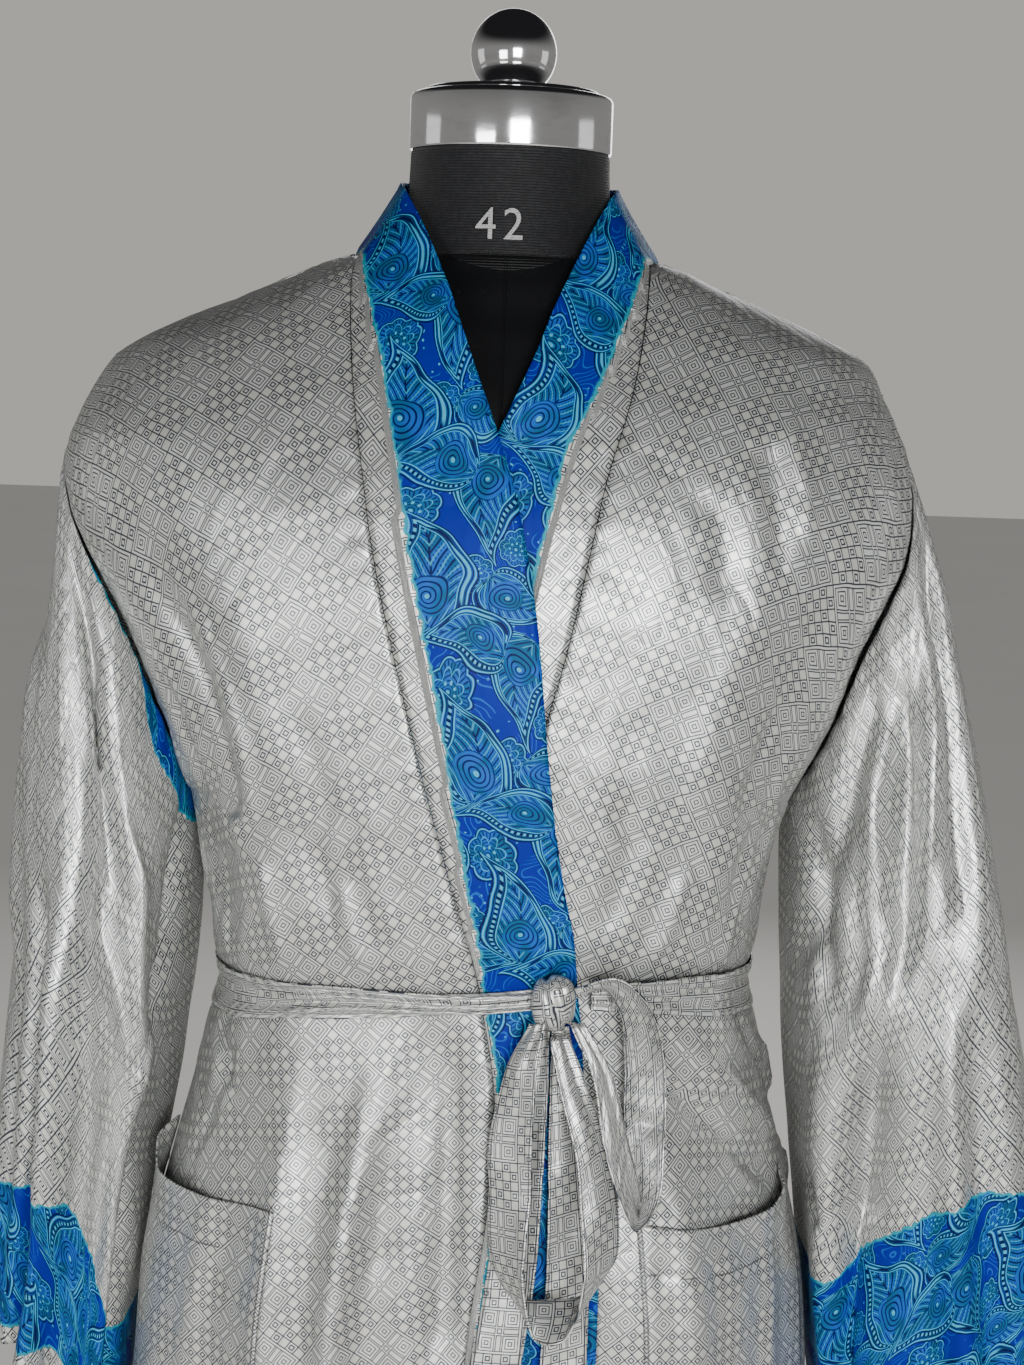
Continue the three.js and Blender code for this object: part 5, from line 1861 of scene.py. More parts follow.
@dataclass
class FrontPanel(Piece):
    """Front of the robe from the neckband seam to the side seam and armhole."""

    side: Side
    lift: Lift
    columns: int = 104
    grain_above: float = 25.0
    grain_below: float = 42.0
    hem: float = 14.0
    broad: Place = (1.0, 38, 90)
    small: Place = (0.45, 15, 40)
    seed: int = 3

    def sheet(self) -> ClothSheet:
        """Cloth of the panel with its hem, seams and print.

        Returns:
            The sheet.
        """
        edges = refine(seam_rows(), edge_rows(self.side), ROW_PITCH)
        edges = np.interp(np.arange(len(SEAM_HEIGHTS)), np.arange(len(edges)), edges)
        seam_x = self.side.band.at("seam_x", SEAM_HEIGHTS) + self.side.sign * SEAM_GAP
        seam_angle = ROBE.angle_at_x(seam_x, SEAM_HEIGHTS)
        share = np.linspace(0, 1, self.columns + 1)[None, :]
        angle = mix(seam_angle[:, None], self.side.sign * 90.0, share)
        level = mix(SEAM_HEIGHTS[:, None], edges[:, None], share)
        points = ROBE.point(angle, level, self.lift)
        u, v = upright_uv(points, self.side.sign * 110.0)
        across, up = arc_along(points, 1), arc_along(points, 0)
        to_side = across[:, -1:] - across
        grain = np.where(level > BELT_LEVEL, self.grain_above, self.grain_below)
        stitch = np.minimum(np.abs(up - self.hem), 10.0) * MM
        sheet = ClothSheet(
            f"front_{self.side.name}",
            points,
            turned_print(u, v, grain),
            masks={"stitch": stitch},
        )
        height = seam_dip(across, up, 0.4, 0.9, 0.7) + seam_dip(to_side, up, 2.1, 0.6, 0.5)
        rumple = Rumple(self.seed)
        height += rumple.wave(u, v, self.broad) + rumple.wave(u + APART, v, self.small)
        height += groove(up - self.hem)
        sheet.raise_by(height)
        return sheet

    def build(self, finishes: Finishes) -> None:
        """Builds and dresses the panel."""
        piece = self.dress_sheet(self.sheet(), finishes.silk, "silk_print")


@dataclass
class BackPanel(Piece):
    """Back of the robe, cut whole, with a scooped neckline."""

    columns: int = 176
    grain: float = 24.0
    hem: float = 14.0
    broad: Place = (1.1, 36, 95)
    small: Place = (0.7, 14, 34)
    seed: int = 8

    def neck_height(self, share: Array) -> Array:
        """Height of the back neckline, lowest at the centre back."""
        return mix(BACK_NECK_Z, NECK_POINT_Z, smooth_step(0.1, 1, np.abs(share)))

    def sheet(self) -> ClothSheet:
        """Cloth of the panel with its hem, seams and print.

        Returns:
            The sheet.
        """
        right = refine(seam_rows(), edge_rows(RIGHT), ROW_PITCH)
        left = refine(seam_rows(), edge_rows(LEFT), ROW_PITCH)
        share = np.linspace(-1, 1, self.columns + 1)[None, :]
        seam_z = SEAM_HEIGHTS[:, None]
        edge_z = np.where(share < 0, left[:, None], right[:, None])
        drop = (self.neck_height(share) - NECK_POINT_Z) * smooth_step(1300, NECK_POINT_Z, seam_z)
        angle = np.where(share < 0, 180 + share * 89.999, -180 + share * 89.999)
        angle = np.where(share == 0, 180.0, angle) + 0 * seam_z
        level = mix(seam_z, edge_z, np.abs(share)) + drop
        points = ROBE.point(angle, level)
        u, v = upright_uv(points, 0.0)
        across, up = arc_along(points, 1), arc_along(points, 0)
        to_side = np.minimum(across, across[:, -1:] - across)
        to_neck = up[-1:] - up + 400 * smooth_step(0.44, 0.5, np.abs(share))
        sheet = ClothSheet(
            "back_panel",
            points,
            turned_print(u, v, self.grain),
            masks={"stitch": np.minimum(np.abs(up - self.hem), 10.0) * MM},
        )
        rumple = Rumple(self.seed)
        height = seam_dip(to_side, up, 1.1, 0.6, 0.5) + seam_dip(to_neck, across, 0.3, 0.6, 0.4)
        height += rumple.wave(u, v, self.broad) + rumple.wave(u + APART, v, self.small)
        height += groove(up - self.hem)
        sheet.raise_by(height)
        return sheet

    def build(self, finishes: Finishes) -> None:
        """Builds and dresses the panel."""
        piece = self.dress_sheet(self.sheet(), finishes.silk, "silk_print")


@dataclass
class Neckband(Piece):
    """Half of the band that runs round the neck and down one front edge."""

    side: Side
    lift: Lift
    strip: SmoothTable
    columns: int = 20
    grain: float = 27.0
    neck_steps: int = 40
    broad: Place = (0.5, 30, 46)
    seed: int = 21

    def front_rows(self) -> Array:
        """Rows of the band from the hem to the shoulder.

        Returns:
            Grid of points.
        """
        band = self.side.band
        share = np.linspace(0, 1, self.columns + 1)[None, :]
        seam_z = SEAM_HEIGHTS[:, None]
        seam_x = band.at("seam_x", seam_z)
        seam = ROBE.point(ROBE.angle_at_x(seam_x, seam_z), seam_z, self.lift)
        free = np.stack([band.at(name, seam_z) for name in ("edge_x", "edge_y", "edge_z")], axis=-1)
        x = mix(seam_x, band.at("edge_x", seam_z), share)
        z = np.minimum(NECK_POINT_Z, mix(seam_z, band.at("edge_z", seam_z), share))
        lying = ROBE.point(ROBE.angle_at_x(x, z), z, self.lift)
        return mix(lying, mix(seam, free, share[..., None]), band.at("lift", seam_z)[..., None])

    def neck_rows(self) -> Array:
        """Rows behind the shoulder, from the ridge to the centre back.

        Returns:
            Grid of points.
        """
        share = np.arange(1, self.neck_steps + 1)[:, None] / self.neck_steps
        turn = 90 + share * 90
        level = BackPanel().neck_height(1 - share) + 0.5
        seam = ROBE.point(self.side.sign * np.minimum(turn, 179.9), level)
        inwards = 1 - SEAM_GAP / np.hypot(seam[..., 0], seam[..., 1])
        x = self.side.sign * np.maximum(SEAM_GAP, np.abs(seam[..., 0]) * inwards)
        seam = np.stack([x, seam[..., 1] * inwards, seam[..., 2]], axis=-1)
        sweep = np.radians(turn - 90)
        x = self.side.sign * np.maximum(SEAM_GAP, BAND_NECK_SIDE[0] * np.cos(sweep))
        z = mix(BAND_NECK_SIDE[1], BAND_NECK_BACK[1], share)
        free = np.stack([x, BAND_NECK_BACK[0] * np.sin(sweep), z], axis=-1)
        across = np.linspace(0, 1, self.columns + 1)[None, :, None]
        return mix(seam, free, across)

    def sheet(self) -> ClothSheet:
        """Cloth of the band with its grey strip, its border print and its folded edge.

        Returns:
            The sheet.
        """
        points = np.concatenate([self.front_rows(), self.neck_rows()])
        across, up = arc_along(points, 1), arc_along(points, 0)
        middle = up[:, self.columns // 2][:, None] + 0 * across
        width = across[:, -1:]
        strip = np.concatenate([self.strip.at("width", SEAM_HEIGHTS), np.full(self.neck_steps, -2.0)])
        border = across - strip[:, None]
        u = self.side.sign * across
        plain, printed = turned_print(u, middle, self.grain), turned_print(u, middle, 0.0)
        uv = np.where(border[..., None] > -3, printed, plain)
        sheet = ClothSheet(
            f"neckband_{self.side.name}",
            points,
            uv,
            masks={"stitch": no_stitches(points), "border": border * MM},
        )
        rumple = Rumple(self.seed)
        height = seam_dip(across, up, 0.9, 0.8, 0.5)
        height -= groove(width - across, 0.6, 3.0)
        height += rumple.wave(across, middle, self.broad) * smooth_step(2, 12, across)
        sheet.raise_by(height)
        return sheet

    def build(self, finishes: Finishes) -> None:
        """Builds and dresses the band."""
        piece = self.dress_sheet(self.sheet(), finishes.border, "border_print")


@dataclass
class Sleeve(Piece):
    """Wide straight sleeve on a dropped armhole, with a border print at the cuff."""

    side: Side
    columns: int = 144
    rows: int = 156
    grain: float = 25.0
    cuff: float = 112.0
    cuff_strip: float = 12.0
    patch: bool = False
    broad: Place = (2.2, 26, 90)
    small: Place = (0.9, 13, 32)
    seed: int = 5

    def seam(self, angle: Array) -> tuple[Array, Array]:
        """Points and normals of the armhole seam, by angle from the shoulder.

        Args:
            angle: Angles in degrees.

        Returns:
            The points and the normals.
        """
        bottom, top = self.side.armhole
        level = mix(top, bottom, (1 - np.cos(np.radians(angle))) / 2)
        around = self.side.sign * np.where(angle <= 180, 90.0, JUST_BEHIND)
        return ROBE.point(around, level), ROBE.normal(around, level)

    def base(self, angle: Array, share: Array) -> Array:
        """Undisturbed tube of the sleeve.

        Args:
            angle: Angles in degrees.
            share: Shares of the length.

        Returns:
            The points.
        """
        rails, sign = self.side.rails, self.side.sign
        start, _ = self.seam(angle)
        flip = np.array([sign, 1.0, 1.0])
        end, leave, arrive = (
            np.stack([rails.at(f"{end}_{axis}", angle) for axis in "xyz"], axis=-1) * flip
            for end in ("hem", "start", "end")
        )
        s = share[..., None]
        point = start * (1 + 2 * s) * (1 - s) ** 2 + end * s * s * (3 - 2 * s)
        return point + leave * s * (1 - s) ** 2 - arrive * s * s * (1 - s)

    def normal(self, angle: Array, share: Array) -> Array:
        """Outward normals of the undisturbed tube.

        Args:
            angle: Angles in degrees.
            share: Shares of the length.

        Returns:
            The normals.
        """
        around = self.base((angle + 1) % 360, share) - self.base((angle + 359) % 360, share)
        down = self.base(angle, share + 0.004) - self.base(angle, share - 0.004)
        return unit(np.cross(around, down)) * self.side.sign

    def first_row(self, angle: Array) -> Array:
        """Row beside the armhole seam. Under the arm the cloth turns back down.

        Args:
            angle: Angles in degrees.

        Returns:
            The points.
        """
        point, normal = self.seam(angle)
        along = unit(np.roll(point, -1, axis=0) - np.roll(point, 1, axis=0))
        outwards = unit(np.cross(along, normal) * -self.side.sign)
        leave = unit(self.base(angle, np.full_like(angle, 0.03)) - point)
        folded = 1 - smooth_step(-0.2, 0.6, np.sum(outwards * leave, axis=-1))
        return point + outwards * SEAM_GAP + normal * (2 * SEAM_GAP * folded)[:, None]

    def sheet(self) -> ClothSheet:
        """Cloth of the sleeve with its cuff, seams and print.

        Returns:
            The sheet.
        """
        angle = np.arange(self.columns) * 360.0 / self.columns
        share = (np.arange(1, self.rows + 1) / self.rows) ** 0.96
        grid_angle, grid_share = np.meshgrid(angle, share)
        relief = np.zeros_like(grid_angle)
        for fold in self.side.sleeve_folds:
            relief += fold.profile(grid_angle, grid_share)
        tube = self.base(grid_angle, grid_share) + self.normal(grid_angle, grid_share) * relief[..., None]
        points = np.concatenate([self.first_row(angle)[None], tube])
        points = np.concatenate([points, points[:, :1]], axis=1)
        return self.finish_sheet(points)

    def finish_sheet(self, points: Array) -> ClothSheet:
        """Adds the seam's dip, the cuff's hem, the border and the print coordinates.

        Args:
            points: Grid of the sleeve's points.

        Returns:
            The sheet.
        """
        around, down = arc_along(points, 1), arc_along(points, 0)
        girth = around[:, -1:]
        around = (around / girth - 0.5) * np.mean(girth)
        to_cuff = down[-1:] - down
        uneven = 3.0 * np.sin(around / 41) + 2.0 * np.sin(around / 17 + 1)
        border = np.minimum(to_cuff - self.cuff_strip, self.cuff + uneven - to_cuff)
        if self.patch:
            border = np.maximum(border, self.patch_depth(points))
        stitch = np.minimum(np.abs(to_cuff - self.cuff_strip), 10.0)
        sheet = ClothSheet(
            f"sleeve_{self.side.name}",
            points,
            turned_print(self.side.sign * around, -down, self.grain),
            outwards=Outwards.FROM_ROWS,
            closed=True,
            masks={"stitch": stitch * MM, "border": border * MM},
        )
        rumple = Rumple(self.seed)
        blend = np.cos(np.linspace(0, 2 * np.pi, points.shape[1]))[None, :]
        height = seam_dip(down, around, 0.4, 0.9, 0.8)
        waves = rumple.wave(110 * blend, down, self.broad)
        waves += rumple.wave(160 * blend + 500, down, self.small)
        height += waves * smooth_step(0, 14, down)
        height += groove(to_cuff - self.cuff_strip)
        sheet.raise_by(height)
        return sheet

    def patch_depth(self, points: Array) -> Array:
        """Depth inside the border print that shows beside the armhole, under the arm.

        Args:
            points: Grid of the sleeve's points.

        Returns:
            The depth in millimetres.
        """
        turn = np.linspace(0, 360, points.shape[1])[None, :]
        down = arc_along(points, 0)
        reach = 5 + 27 * smooth_step(100, 122, turn) * (1 - smooth_step(178, 205, turn))
        reach = reach * smooth_step(62, 78, turn) * (1 - smooth_step(205, 232, turn))
        return reach - down - 1

    def build(self, finishes: Finishes) -> None:
        """Builds and dresses the sleeve."""
        piece = self.dress_sheet(self.sheet(), finishes.border, "silk_print")


@dataclass
class Pocket(Piece):
    """Patch pocket with a turned-down hem and a mouth that hangs open."""

    side: Side
    lift: Lift
    inner_angle: float
    outer_angle: float
    gape: float
    rise: float
    sag: float
    grain: float = 42.0
    columns: int = 60
    rows: int = 76
    broad: Place = (0.6, 24, 30)
    seed: int = 31

    def sheet(self) -> ClothSheet:
        """Cloth of the pocket with its stitched hem and edges.

        Returns:
            The sheet.
        """
        up = np.linspace(0, 1, self.rows + 1)[:, None]
        share = np.linspace(0, 1, self.columns + 1)[None, :]
        sag = self.sag * np.sin(np.pi * share) * up**4
        rise = self.rise * smooth_step(0.7, 1, share) * up**4
        level = mix(POCKET_BOTTOM_Z, POCKET_TOP_Z, up) - sag + rise
        angle = mix(self.inner_angle, self.outer_angle, share) + 0 * up
        gape = self.gape * smooth_step(0.15, 0.8, share) * (1 - smooth_step(0.86, 1, share)) * up**5
        points = ROBE.point(angle, level, lambda around: self.lift(around) + POCKET_LIFT + gape)
        across, height = arc_along(points, 1), arc_along(points, 0)
        to_top = height[-1:] - height
        to_sides = np.minimum(across, across[:, -1:] - across)
        to_seam = np.minimum(to_sides - POCKET_STITCH, height - POCKET_STITCH)
        stitch = np.minimum(np.abs(to_top - POCKET_HEM), to_seam)
        sheet = ClothSheet(
            f"pocket_{self.side.name}",
            points,
            turned_print(self.side.sign * (across - 60), height, self.grain),
            masks={"stitch": stitch * MM},
        )
        relief = -0.8 * (1 - smooth_step(0, 4, np.minimum(to_sides, height)))
        relief += groove(to_top - POCKET_HEM, 0.7, 2.2) - groove(to_top)
        relief -= np.sin(across / 3.1) * groove(to_top - POCKET_HEM, 0.5, 6.0)
        relief += Rumple(self.seed).wave(across, height, self.broad) * smooth_step(2, 12, to_sides)
        sheet.raise_by(relief)
        return sheet

    def build(self, finishes: Finishes) -> None:
        """Builds and dresses the pocket."""
        piece = self.dress_sheet(self.sheet(), finishes.silk, "silk_print")


@dataclass
class Belt(Piece):
    """Belt round the waist, its knot, and the loops and tails of the bow."""

    steps: int = 360
    across: int = 18
    cloth_width: float = 32.0
    knot_x: float = 43.0
    knot_stand: float = 12.6
    knot_size: Place = (13.0, 10.0, 17.0)

    def waist(self) -> ClothSheet:
        """Strip round the waist, gathered into strands beside the knot.

        Returns:
            The sheet.
        """
        around = np.linspace(BELT_ROWS[0][0], BELT_ROWS[-1][0], self.steps + 1)[None, :]
        share = np.linspace(-1, 1, self.across + 1)[:, None]
        width = ROBE.belt.at("width", around)
        level = BELT_LEVEL + share * width / 2
        angle = wrap_angle(around) + 0 * share
        points = ROBE.point(angle, level, lambda at: overlap_lift(at) + BELT_LIFT)
        along = arc_along(points, 1)
        gathered = np.clip(1.25 - width / self.cloth_width, 0.12, 0.8)
        waver = 0.6 * np.sin(around / 17) + 0.4 * np.sin(around / 7.3 + 1)
        pleats = np.cos(np.pi * (share * 2.6 + waver)) * gathered * 2.6
        pleats += 0.5 * np.cos(np.pi * (share * 4.7 - waver + 0.6)) * gathered
        sheet = ClothSheet(
            "belt_waist",
            points,
            turned_print(along, share * self.cloth_width / 2 + 0 * along, 0.0),
            masks={"stitch": no_stitches(points)},
        )
        sheet.raise_by(pleats * (1 - 0.35 * np.abs(share)) + 0.6)
        return sheet

    def knot(self) -> ClothSheet:
        """Squeezed wrap of the belt, with the pleats of the turn that holds it.

        Returns:
            The sheet.
        """
        turn = np.linspace(0, 2 * np.pi, 73)[None, :]
        rise = np.linspace(-np.pi / 2, np.pi / 2, 49)[:, None]
        x, depth, y = np.sin(turn) * np.cos(rise), np.cos(turn) * np.cos(rise), np.sin(rise) + 0 * turn
        x, y = np.sign(x) * np.abs(x) ** 0.72, np.sign(y) * np.abs(y) ** 0.8
        centre, level = np.array([self.knot_x]), np.array([BELT_LEVEL])
        surface = ROBE.point(ROBE.angle_at_x(centre, level), level, overlap_lift)[0]
        groove = 1 - 0.2 * np.exp(-((x + 0.55 * y - 0.15) ** 2) / 0.03)
        groove -= 0.07 * np.cos(8 * x + 5 * y) * np.clip(depth, 0, 1)
        squeeze = 1 - 0.16 * depth * depth
        points = np.stack(
            [
                surface[0] + self.knot_size[0] * x * squeeze,
                surface[1] - self.knot_stand - self.knot_size[1] * depth * groove,
                surface[2] + self.knot_size[2] * y * groove,
            ],
            axis=-1,
        )
        uv = turned_print(turn * 12 + 0 * rise, rise * 17 + 0 * turn, 10.0)
        return ClothSheet(
            "belt_knot",
            points,
            uv,
            outwards=Outwards.FROM_ROWS,
            closed=True,
            wall=0.0,
            masks={"stitch": no_stitches(points)},
        )

    def ribbon(self, name: str, rows: Rows, steps: int, curl: float, seed: int) -> ClothSheet:
        """Free ribbon of the bow.

        Args:
            name: The piece's name.
            rows: Table of its middle line, its lean and its width.
            steps: Number of cells along it.
            curl: Height of the curl across it.
            seed: Seed of its unevenness.

        Returns:
            The cloth of the ribbon.
        """
        table = SmoothTable(RIBBON_COLUMNS, rows)
        t = np.linspace(0, 1, steps + 1)
        x, z = table.at("x", t), table.at("z", t)
        surface = ROBE.point(ROBE.angle_at_x(x, z), z, overlap_lift)
        middle = np.stack([x, surface[:, 1] - table.at("stand", t), z], axis=-1)
        lean = unit(np.stack([table.at(f"across_{axis}", t) for axis in "xyz"], axis=-1))
        width = table.at("width", t)
        share = np.linspace(-1, 1, 19)[:, None]
        points = middle[None] + lean[None] * (share * width[None] / 2)[..., None]
        along = arc_along(points, 1)
        gathered = np.clip(0.86 - width / self.cloth_width, 0.0, 0.6)[None]
        pleats = gathered * 2.2 * np.cos(np.pi * share * 1.7 + 1.5 * np.sin(t * 5)[None])
        waves = curl * (1 - share * share) * np.sin(t * 9 + 0.8)[None]
        waves = waves + 1.5 * Rumple(seed).at(share * 12 + 0 * along, along, 15, 26)
        sheet = ClothSheet(
            name,
            points,
            turned_print(along, share * self.cloth_width / 2 + 0 * along, 4.0),
            outwards=Outwards.FORWARD,
            masks={"stitch": np.abs((1 - np.abs(share)) * self.cloth_width / 2 - 1.8 + 0 * along) * MM},
        )
        sheet.raise_by(pleats + waves)
        return sheet

    def build(self, finishes: Finishes) -> None:
        """Builds and dresses the belt and its bow.

        Args:
            finishes: The materials.
        """
        sheets = [
            (self.waist(), (0.032, 1.1), "gathered"),
            (self.knot(), (0.032, 0.038), "gathered"),
            (self.ribbon("belt_loop_large", LARGE_LOOP_ROWS, 150, 1.6, 41), (0.032, 0.39), "hung"),
            (self.ribbon("belt_loop_small", SMALL_LOOP_ROWS, 130, 1.2, 42), (0.032, 0.27), "hung"),
            (self.ribbon("belt_tail_right", RIGHT_TAIL_ROWS, 120, 1.4, 43), (0.032, 0.32), "hung"),
            (self.ribbon("belt_tail_left", LEFT_TAIL_ROWS, 120, 1.4, 44), (0.032, 0.35), "hung"),
        ]
        for sheet, flat_size, held in sheets:
            piece = self.dress_sheet(sheet, finishes.silk, "silk_print")


# Neck block: radius and share of its height.
NECK_ROWS = [
    (66.5, 0.0),
    (65.4, 0.14),
    (64.5, 0.3),
    (63.4, 0.46),
    (62.6, 0.62),
    (62.0, 0.8),
    (61.6, 0.97),
    (61.0, 1.0),
]
# Ring: distance inside its radius, and height over its bottom or its top.
RING_LOWER_ROWS = [(1.2, 0), (0.5, 0.2), (0.1, 0.8), (0, 1.6)]
RING_UPPER_ROWS = [
    (0, -3.2),
    (0.3, -1.9),
    (1.0, -0.8),
    (2.5, 0),
    (6, 1.0),
    (8, 1.2),
    (8.6, 2.4),
    (10, 3.2),
    (22, 4.3),
]
RING_PLATE_RISE = 4.5
# Base: distance inside its radius and height at the rim, then radius and height on the dome.
BASE_RIM_ROWS = [(2.4, 0), (0.7, 0.6), (0, 2.2), (0, 6.4), (0.8, 8.2), (3.2, 9.1)]
BASE_DOME_ROWS = [
    (140, 12.8),
    (80, 17.8),
    (44, 21.6),
    (32, 23.6),
    (27, 26.5),
    (24, 31),
    (22.6, 38),
    (22, 43.6),
    (21, 45.6),
    (19.4, 46),
]


@dataclass
class DressForm(Piece):
    """Limbless form with its neck, ring, ball, pole and base."""

    columns: int = 120
    neck_base: float = 1427.0
    neck_top: float = 1489.7
    ring_radius: float = 62.5
    ring_bottom: float = 1490.0
    ring_top: float = 1524.0
    ball_radius: float = 26.5
    ball_centre: float = 1549.5
    pole_radius: float = 12.5
    base_radius: float = 190.0
    neck_tuck: float = 0.982
    digit_size: float = 26.2
    digit_spacing: float = 1.25
    digit_level: float = 1435.5
    digit_wall: float = 0.25
    digit_edge: float = 3.0
    digit_shift: float = 4.5
    digit_stand: float = 0.35
    neck_radii: Pair = (66.5, 62.3)
    taper_height: float = 62.0

    def torso(self) -> ClothSheet:
        """Closed shell of the torso from its bottom to the neck.

        Returns:
            The shell.
        """
        table = SmoothTable(FORM_COLUMNS, FORM_SECTIONS)
        bottom, shoulder, neck = FORM_SECTIONS[0][0], 1340, FORM_SECTIONS[-1][0]
        below = np.linspace(bottom, shoulder, 90, endpoint=False)
        z = np.concatenate([below, np.linspace(shoulder, neck, 40)])[:, None]
        angle = np.linspace(0, 2 * np.pi, self.columns + 1)[None, :]
        square = table.at("square", z)
        middle = SHOULDER_RIDGE_Y * smooth_step(1300, 1360, z)
        reach = np.where(np.cos(angle) > 0, table.at("front", z), table.at("back", z)) - middle
        x = table.at("half_width", z) * width_share(angle, square)
        y = middle + reach * np.abs(depth_share(angle, square))
        rows = np.stack([x, y, z + 0 * angle], axis=-1)
        rows[-1, :, :2] *= self.neck_tuck
        on_axis = np.array([0.0, 0.0, 1.0])
        points = np.concatenate([rows[:1] * on_axis, rows, rows[-1:] * on_axis])
        return ClothSheet(
            "form_torso",
            points,
            points[..., ::2] * MM,
            outwards=Outwards.FROM_AXIS,
            closed=True,
            wall=0.0,
        )

    def turned(self, name: str, profile: Sequence[Pair], steps: int) -> bpy.types.Object:
        """Object turned about the vertical axis.

        Args:
            name: The object's name.
            profile: Radii and heights, from the bottom's middle to the top's.
            steps: Number of faces round it.

        Returns:
            The object.
        """
        shell = bmesh.new()
        verts = [shell.verts.new((radius * MM, 0, z * MM)) for radius, z in profile]
        edges = [shell.edges.new(pair) for pair in zip(verts, verts[1:])]
        bmesh.ops.spin(
            shell,
            geom=verts + edges,
            cent=(0, 0, 0),
            axis=(0, 0, 1),
            dvec=(0, 0, 0),
            angle=2 * math.pi,
            steps=steps,
            use_merge=True,
            use_duplicate=False,
        )
        bmesh.ops.remove_doubles(shell, verts=shell.verts, dist=1e-6)
        bmesh.ops.recalc_face_normals(shell, faces=shell.faces)
        for face in shell.faces:
            face.smooth = True
        mesh = mesh_of(shell, name + "_shape")
        mesh.set_sharp_from_angle(angle=math.radians(38))
        piece = add_object(name + "_shape", mesh)
        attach(piece, BODY)
        return piece

    def neck_profile(self) -> list[Pair]:
        """Profile of the neck block, slightly hollow.

        Returns:
            Radii and heights.
        """
        bottom = self.neck_base + 0.3
        height = self.neck_top - bottom
        wall = [(radius, bottom + height * share) for radius, share in NECK_ROWS]
        return [(0, bottom), *wall, (0, self.neck_top)]

    def ring_profile(self) -> list[Pair]:
        """Profile of the chrome ring with its rounded rims and raised plate.

        Returns:
            Radii and heights.
        """
        wall = [(self.ring_radius - inset, self.ring_bottom + rise) for inset, rise in RING_LOWER_ROWS]
        rim = [(self.ring_radius - inset, self.ring_top + rise) for inset, rise in RING_UPPER_ROWS]
        return [(0, self.ring_bottom), *wall, *rim, (0, self.ring_top + RING_PLATE_RISE)]

    def ball_profile(self) -> list[Pair]:
        """Profile of the ball finial on its low foot.

        Returns:
            Radii and heights.
        """
        foot = self.ring_top + 4.8
        start = math.asin((foot - self.ball_centre) / self.ball_radius) + 0.12
        angles = np.linspace(start, math.pi / 2, 33)
        radius, centre = self.ball_radius, self.ball_centre
        arc = [(radius * math.cos(a), centre + radius * math.sin(a)) for a in angles[:-1]]
        return [(0, foot), (12.4, foot), (13, foot + 0.6), *arc, (0, centre + radius)]

    def base_profile(self) -> list[Pair]:
        """Profile of the weighted base: a rounded rim, a shallow dome and a socket."""
        rim = [(self.base_radius - inset, z) for inset, z in BASE_RIM_ROWS]
        return [(0, 0), *rim, *BASE_DOME_ROWS, (0, BASE_DOME_ROWS[-1][1])]

    def digits(self, finishes: Finishes) -> None:
        """Size number on the neck, laid round its front.

        Args:
            finishes: The materials.
        """
        text = bpy.data.curves.new("size_number", "FONT")
        text.body = "42"
        text.size = self.digit_size * MM
        text.align_x = "CENTER"
        text.space_character = self.digit_spacing
        text.extrude = self.digit_wall * MM
        text.resolution_u = 6
        holder = add_object("size_number_text", text)
        bpy.context.view_layer.update()
        mesh = bpy.data.meshes.new_from_object(holder.evaluated_get(bpy.context.evaluated_depsgraph_get()))
        bpy.data.objects.remove(holder)
        shell = bmesh.new()
        shell.from_mesh(mesh)
        bmesh.ops.triangulate(shell, faces=shell.faces)
        for _ in range(2):
            long = [e for e in shell.edges if e.calc_length() > self.digit_edge * MM]
            bmesh.ops.subdivide_edges(shell, edges=long, cuts=1)
            bmesh.ops.triangulate(shell, faces=shell.faces)
        for vert in shell.verts:
            z = self.digit_level * MM + vert.co.y
            share = (z / MM - self.neck_base) / self.taper_height
            radius = (mix(*self.neck_radii, share) + self.digit_stand) * MM + vert.co.z
            turn = vert.co.x / radius
            vert.co = (radius * math.sin(turn) - self.digit_shift * MM, -radius * math.cos(turn), z)
        bmesh.ops.remove_doubles(shell, verts=shell.verts, dist=1e-6)
        shell.to_mesh(mesh)
        shell.free()
        piece = add_object("size_number", mesh)
        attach(piece, BODY)
        self.dress(piece, finishes.stencil, "neck_rib")

    def build(self, finishes: Finishes) -> None:
        """Builds and dresses the form and its stand.

        Args:
            finishes: The materials.
        """
        torso = self.torso().build()
        self.dress(torso, finishes.jersey, "form_jersey", "form_torso")
        foot, head = BASE_DOME_ROWS[-1][1] + 0.3, FORM_SECTIONS[0][0] - 0.3
        pole = [(0, foot), (self.pole_radius, foot), (self.pole_radius, head), (0, head)]
        turned_parts = (
            ("form_neck_block", self.neck_profile(), 112, finishes.rib, "neck_rib"),
            ("form_neck_ring", self.ring_profile(), 128, finishes.chrome, "chrome"),
            ("form_finial", self.ball_profile(), 64, finishes.chrome, "chrome"),
            ("form_pole", pole, 48, finishes.chrome, "chrome"),
            ("form_base", self.base_profile(), 128, finishes.paint, "base_paint"),
        )
        for name, profile, steps, material, slot in turned_parts:
            piece = self.turned(name, profile, steps)
            self.dress(piece, material, slot, name)
        self.digits(finishes)


